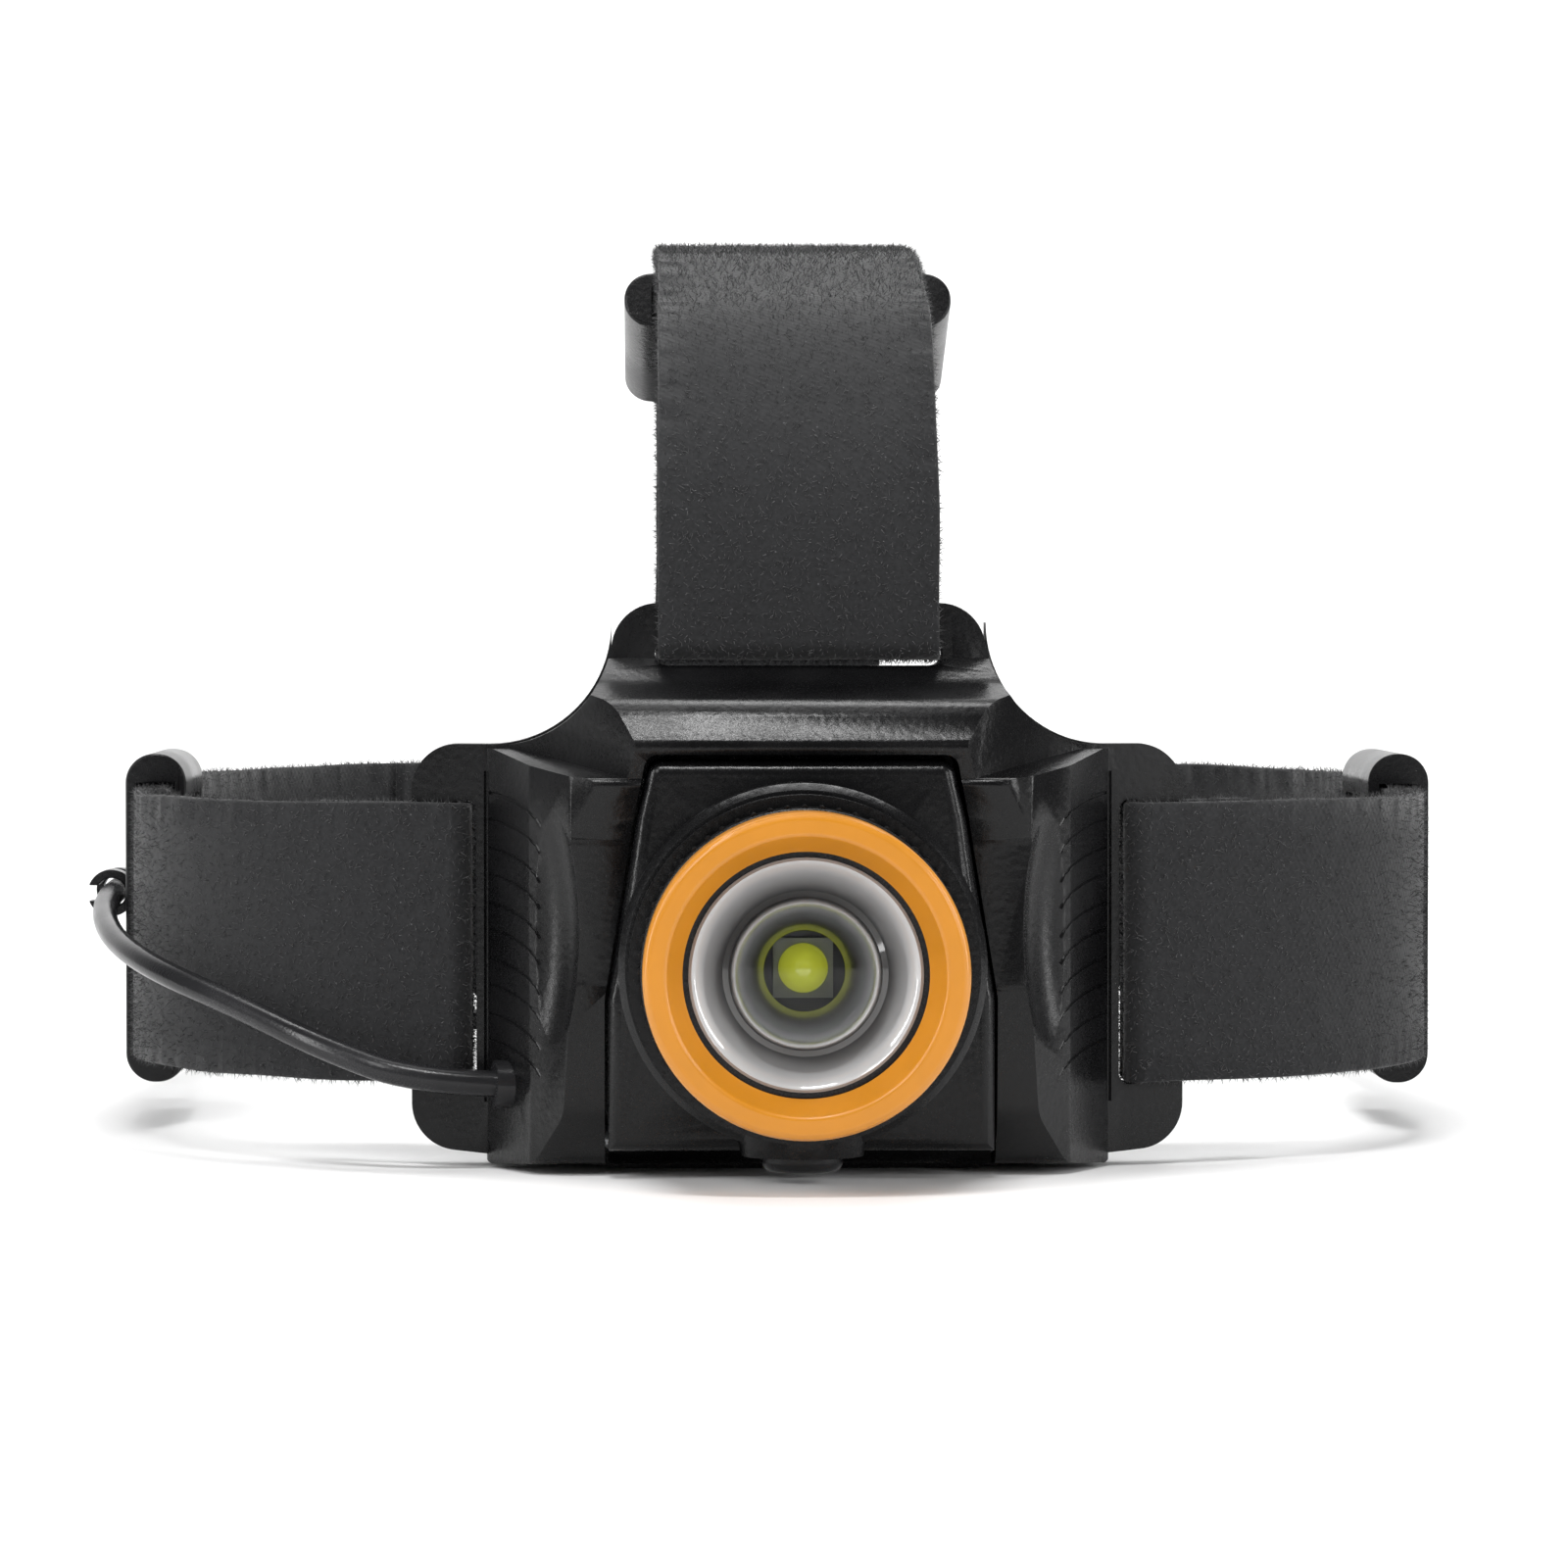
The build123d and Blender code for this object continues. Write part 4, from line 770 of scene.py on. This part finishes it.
class HEADLAMP_OT_cable(bpy.types.Operator):
    """Lay the lamp's cable along the head's left side to the battery case"""

    bl_idname = "headlamp.cable"
    bl_label = "Cable"

    def execute(self, context):
        route = [
            (-0.0294, -0.0040, 0.0091), (-0.0405, -0.0062, 0.0095), (-0.0510, -0.0008, 0.0129),
            (-0.0605, 0.0080, 0.0168), (-0.0715, 0.0205, 0.0206), (-0.0776, 0.0405, 0.0234),
            (-0.0793, 0.0610, 0.0264), (-0.0793, 0.1080, 0.0264), (-0.0778, 0.1310, 0.0206),
            (-0.0716, 0.1525, 0.0126), (-0.0600, 0.1705, 0.0058), (-0.0505, 0.1823, 0.0044),
            (-0.0415, 0.1886, 0.0039), (-0.0310, 0.1903, 0.0038)]
        data = bpy.data.curves.new("Cable", "CURVE")
        data.dimensions = "3D"
        data.bevel_depth = CABLE_RADIUS
        data.bevel_resolution = 6
        data.resolution_u = 14
        data.use_fill_caps = True
        spline = data.splines.new("NURBS")
        spline.points.add(len(route) - 1)
        for point, place in zip(spline.points, route):
            point.co = (*place, 1)
        spline.order_u = 3
        spline.use_endpoint_u = True
        data.materials.append(FINISHES["rubber"])
        cable = bpy.data.objects.new("Cable", data)
        context.scene.collection.objects.link(cable)
        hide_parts("lamp_cable")
        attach(cable, "headband")
        return {"FINISHED"}


class HEADLAMP_OT_bracket(bpy.types.Operator):
    """Make the moulded front bracket with its engraved gills, and finish what it carries"""

    bl_idname = "headlamp.bracket"
    bl_label = "Bracket"

    def execute(self, context):
        sizes = context.scene.headlamp_bracket
        shell = link_piece("Bracket", merged_copy("bracket_shell"), "housing")
        soften(shell, sizes.edge_round)
        grooves = bmesh.new()
        for side in (-1, 1):
            for index in range(sizes.gill_count):
                top = GILL_TOP - index * sizes.gill_pitch
                for drop in (0.0, GILL_HEIGHT):
                    self.groove(grooves, shell, self.gill(side, top - drop), sizes.groove_radius)
            cheek = [Vector((side * CHEEK_LINE_X, 0, z * MM)) for z in range(7, 44, 2)]
            self.groove(grooves, shell, cheek, sizes.groove_radius * 1.5)
        carve(shell, grooves, "GrooveCutter")
        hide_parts("bracket_shell")
        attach(shell, "headband")
        moulded_piece("back_plate", "BackPlate", "inner", "headband", 0.25 * MM)
        for name, finish in (("back_plate_screws", "steel"), ("hinge_pins", "steel"),
                             ("cable_gland", "rubber")):
            finish_node(name, finish)
        return {"FINISHED"}

    def gill(self, side, top):
        """One edge of a gill, as places across the bracket's front, before they drop on it."""
        corners = [(33.1, 0.0), (31.6, -0.3), (30.2, -0.8), (29.0, -1.5), (28.0, -2.4),
                   (27.3, -3.6)]
        return [Vector((side * across * MM, 0, top + down * MM)) for across, down in corners]

    def groove(self, bm, shell, path, radius):
        """Adds a groove's cutter along a path dropped on the shell from the front."""
        knots = []
        for first, second in zip(path, path[1:]):
            for step in range(4):
                spot = first.lerp(second, step / 4)
                found = drop_on(shell, (spot.x, -0.09, spot.z), (0, 1, 0))
                if found is not None:
                    knots.append(found)
        if len(knots) > 2:
            tube_into(bm, knots, radius, sides=8)


class HEADLAMP_OT_head(bpy.types.Operator):
    """Make the tilting head, and finish the boards, the heat sink and the lamp in it"""

    bl_idname = "headlamp.head"
    bl_label = "Head"

    def execute(self, context):
        moulded_piece("head_housing", "HeadHousing", "housing", "head", 0.4 * MM)
        moulded_piece("head_cover", "HeadCover", "housing", "head", 0.3 * MM)
        moulded_piece("power_button", "PowerButton", "rubber", "button", 0.35 * MM)
        for name, finish in (
                ("cover_gasket", "rubber"), ("head_cover_screws", "steel"),
                ("heat_sink", "aluminium"), ("led_board", "substrate"),
                ("led_package", "package"), ("led_dome", "lamp"), ("driver_board", "circuit"),
                ("switch_board", "circuit"), ("tact_switch", "steel")):
            finish_node(name, finish)
        return {"FINISHED"}


class HEADLAMP_OT_focus(bpy.types.Operator):
    """Make the focus ring, its ribbed grip and the lens behind it"""

    bl_idname = "headlamp.focus"
    bl_label = "Focus"

    def execute(self, context):
        moulded_piece("focus_ring", "FocusRing", "ring", "focus", 0.35 * MM)
        moulded_piece("focus_barrel", "FocusBarrel", "inner", "head", 0.2 * MM)
        low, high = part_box("grip_ring")
        grip = soften(link_piece("GripRing", merged_copy("grip_ring"), "grip"), 0.3 * MM)
        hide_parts("grip_ring")
        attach(grip, "focus")
        ribs = run_tree(bmesh.new(), "GripRibs", rib_tree("grip"), {
            "Count": 60, "Ring radius": (high.x - low.x) / 2 - 0.05 * MM, "Rib radius": 0.34 * MM,
            "Length": (high.y - low.y) * 0.78, "Centre": (0, (low.y + high.y) / 2, LAMP_Z)})
        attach(ribs, "focus")
        finish_node("lens_carrier", "inner")
        self.lens()
        finish_node("lens_retainer", "inner")
        return {"FINISHED"}

    def lens(self):
        """The lens: a frosted dish round a clear bull's-eye that shows the lamp behind it."""
        low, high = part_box("lens")
        front = low.y / MM
        back = high.y / MM
        dish = [(LENS_RADIUS, back - 5.9), (LENS_RADIUS, front + 0.3), (LENS_RADIUS - 0.3, front),
                (11.3, front + 0.2),
                (10.3, front + 1.6), (9.2, front + 2.7), (8.5, front + 3.1),
                (7.9, front + 2.9), (7.65, front + 2.2), (7.6, front + 0.9), (7.4, front + 0.6),
                (7.2, front + 0.9), (7.1, front + 1.9), (6.7, front + 2.8), (5.6, front + 4.4),
                (4.6, front + 6.2), (4.2, back), (6.5, back)]
        frosted = lathe("LensDish", dish, "frost_and_painted_shade")
        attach(frosted, "carrier")
        arc = [BULLSEYE_RADIUS * step / 8 for step in range(9)]
        outer = []
        for radius in arc:
            sag = BULLSEYE_CURVE - math.sqrt(BULLSEYE_CURVE ** 2 - radius ** 2)
            outer.append((radius, front + 0.6 + sag))
        bulge = outer + [(radius, depth + BULLSEYE_SKIN) for radius, depth in reversed(outer)]
        clear = lathe("LensBullseye", bulge, "lens", smooth=70.0)
        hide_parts("lens")
        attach(clear, "carrier")


class HEADLAMP_OT_straps(bpy.types.Operator):
    """Make the elastic straps with their pile and their sewn hems"""

    bl_idname = "headlamp.straps"
    bl_label = "Straps"

    def execute(self, context):
        sizes = context.scene.headlamp_straps
        noise.seed_set(WAVE_SEED)
        tree = pile_tree("pile")
        runs = (("band_left", "BandLeft"), ("band_right", "BandRight"),
                ("band_left_tail", "TailLeft"), ("band_right_tail", "TailRight"),
                ("top_strap", "TopStrap"), ("top_strap_tail", "TopTail"))
        for seed, (node_name, name) in enumerate(runs):
            ground = self.ground(node_name, name, sizes)
            source = bmesh.new()
            source.from_mesh(ground.data)
            area = sum(face.calc_area() for face in source.faces)
            density = min(sizes.fibre_density, FIBRES_PER_STRAP / area)
            pile = run_tree(source, name + "Pile", tree, {
                "Density": density, "Length": sizes.fibre_length,
                "Radius": sizes.fibre_radius, "Seed": seed + 1})
            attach(pile, "headband")
        self.hems(sizes)
        return {"FINISHED"}

    def hems(self, sizes):
        """Two rows of stitches across each free end of the head band."""
        tree = stitch_tree("thread")
        for node_name, side, name in (("band_left_tail", -1, "HemLeft"),
                                      ("band_right_tail", 1, "HemRight")):
            low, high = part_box(node_name)
            face = high.x + 0.1 * MM if side < 0 else high.x - 1.7 * MM
            rows = bmesh.new()
            for back in (3.0 * MM, 6.0 * MM):
                count = int((high.z - low.z - 3 * MM) / sizes.stitch_pitch)
                knots = []
                for step in range(count + 1):
                    height = low.z + 1.5 * MM + step * sizes.stitch_pitch
                    knots.append(rows.verts.new((face, high.y - back, height)))
                for knot, after in zip(knots, knots[1:]):
                    rows.edges.new((knot, after))
            stitches = run_tree(rows, name, tree, {
                "Length": sizes.stitch_pitch * 0.7, "Radius": 0.2 * MM})
            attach(stitches, "headband")

    def ground(self, node_name, name, sizes):
        """The elastic's own cloth, with soft edges and a little waviness."""
        piece = soften(link_piece(name, merged_copy(node_name), "strap"), 0.45 * MM, 40.0, 2)
        bm = bmesh.new()
        bm.from_mesh(piece.data)
        low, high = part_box(node_name)
        for axis in range(3):
            way = Vector((axis == 0, axis == 1, axis == 2))
            count = int((high[axis] - low[axis]) / (4 * MM))
            for step in range(1, count):
                place = low.lerp(high, step / count)
                every = bm.verts[:] + bm.edges[:] + bm.faces[:]
                bmesh.ops.bisect_plane(bm, geom=every, plane_co=place, plane_no=way,
                                       dist=0.01 * MM)
        for vert in bm.verts:
            vert.co += noise.noise_vector(vert.co * 75.0) * sizes.waviness
        bm.to_mesh(piece.data)
        bm.free()
        shade(piece.data, 60.0)
        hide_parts(node_name)
        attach(piece, "headband")
        return piece


class HEADLAMP_OT_pads(bpy.types.Operator):
    """Make the forehead pad and the rear pad as stuffed cloth"""

    bl_idname = "headlamp.pads"
    bl_label = "Pads"

    def execute(self, context):
        self.pad(context, "forehead_pad", "ForeheadPad")
        self.pad(context, "rear_pad", "RearPad")
        return {"FINISHED"}

    def pad(self, context, node_name, name):
        """Swells a slightly smaller copy of the pad under pressure, within a small limit."""
        bm = merged_copy(node_name)
        bm.normal_update()
        for vert in bm.verts:
            vert.co -= vert.normal * PAD_SHRINK * MM
        piece = link_piece(name, bm, "pad", smooth=80.0)
        remesh = piece.modifiers.new("Remesh", "REMESH")
        remesh.mode = "VOXEL"
        remesh.voxel_size = PAD_VOXEL
        settle(piece)
        self.swell(context, piece, PAD_SWELL)
        finer = piece.modifiers.new("Finer", "SUBSURF")
        finer.levels = 1
        finer.render_levels = 1
        settle(piece)
        piece.data.materials.clear()
        piece.data.materials.append(FINISHES["pad"])
        piece.data.polygons.foreach_set("use_smooth", [True] * len(piece.data.polygons))
        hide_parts(node_name)
        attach(piece, "headband")

    def swell(self, context, piece, limit):
        """Runs the cloth and keeps each point within the limit of where it started."""
        rest = [vert.co.copy() for vert in piece.data.vertices]
        cloth = piece.modifiers.new("Cloth", "CLOTH")
        cloth.settings.use_pressure = True
        cloth.settings.uniform_pressure_force = PAD_PRESSURE
        cloth.settings.effector_weights.gravity = 0.0
        cloth.settings.quality = 5
        cloth.point_cache.frame_start = 1
        cloth.point_cache.frame_end = PAD_FRAMES
        for step in range(1, PAD_FRAMES + 1):
            context.scene.frame_set(step)
        graph = context.evaluated_depsgraph_get()
        moved = [vert.co.copy() for vert in piece.evaluated_get(graph).data.vertices]
        piece.modifiers.clear()
        context.scene.frame_set(1)
        for vert, start, end in zip(piece.data.vertices, rest, moved):
            step = end - start
            if step.length > limit:
                step = step.normalized() * limit
            vert.co = start + step


class HEADLAMP_OT_sliders(bpy.types.Operator):
    """Make the strap sliders and the cable's clip"""

    bl_idname = "headlamp.sliders"
    bl_label = "Sliders"

    def execute(self, context):
        for node_name, name in (("left_slider", "LeftSlider"), ("right_slider", "RightSlider"),
                                ("top_slider", "TopSlider")):
            moulded_piece(node_name, name, "hardware", node_name, 0.5 * MM)
        moulded_piece("cable_clip", "CableClip", "hardware", "left_slider",
                      0.25 * MM)
        return {"FINISHED"}


class HEADLAMP_OT_battery(bpy.types.Operator):
    """Make the battery case, its door and latch, and finish the cells and contacts"""

    bl_idname = "headlamp.battery"
    bl_label = "Battery case"

    def execute(self, context):
        moulded_piece("battery_case", "BatteryCase", "housing", "headband",
                      0.6 * MM)
        moulded_piece("battery_door", "BatteryDoor", "housing", "door", 0.5 * MM)
        moulded_piece("door_latch", "DoorLatch", "hardware", "latch", 0.3 * MM)
        for name, finish in (
                ("case_gland", "rubber"), ("contact_springs", "steel"),
                ("contact_plates", "steel"), ("cell_1", "jacket"), ("cell_2", "jacket"),
                ("cell_3", "jacket"),
                ("door_hinge_pin", "steel"), ("door_seal", "rubber")):
            finish_node(name, finish)
        return {"FINISHED"}


class HEADLAMP_PT_panel(bpy.types.Panel):
    """The headlamp's operators and sizes"""

    bl_idname = "HEADLAMP_PT_panel"
    bl_label = "Headlamp"
    bl_space_type = "VIEW_3D"
    bl_region_type = "UI"
    bl_category = "Headlamp"

    def draw(self, context):
        for name in ("headlamp_bracket", "headlamp_straps", "headlamp_finish", "headlamp_stage"):
            settings = getattr(context.scene, name)
            box = self.layout.box()
            for key in settings.bl_rna.properties.keys():
                if key not in ("rna_type", "name"):
                    box.prop(settings, key)
        for operator in OPERATORS:
            self.layout.operator(operator.bl_idname)


OPERATORS = (HEADLAMP_OT_stage, HEADLAMP_OT_cable, HEADLAMP_OT_bracket, HEADLAMP_OT_head,
             HEADLAMP_OT_focus, HEADLAMP_OT_straps, HEADLAMP_OT_pads, HEADLAMP_OT_sliders,
             HEADLAMP_OT_battery)
SETTINGS = {"headlamp_bracket": BracketSettings, "headlamp_straps": StrapSettings,
            "headlamp_finish": FinishSettings, "headlamp_stage": StageSettings}


def register():
    """Adds the settings, the operators and the panel."""
    for name, settings in SETTINGS.items():
        bpy.utils.register_class(settings)
        setattr(bpy.types.Scene, name, bpy.props.PointerProperty(type=settings))
    for operator in OPERATORS:
        bpy.utils.register_class(operator)
    bpy.utils.register_class(HEADLAMP_PT_panel)


def unregister():
    """Takes the settings, the operators and the panel away."""
    bpy.utils.unregister_class(HEADLAMP_PT_panel)
    for operator in reversed(OPERATORS):
        bpy.utils.unregister_class(operator)
    for name, settings in SETTINGS.items():
        delattr(bpy.types.Scene, name)
        bpy.utils.unregister_class(settings)


def main():
    register()
    FINISHES.update(build_finishes())
    for operator in OPERATORS:
        group, name = operator.bl_idname.split(".")
        getattr(getattr(bpy.ops, group), name)()


if __name__ == "__main__":
    main()
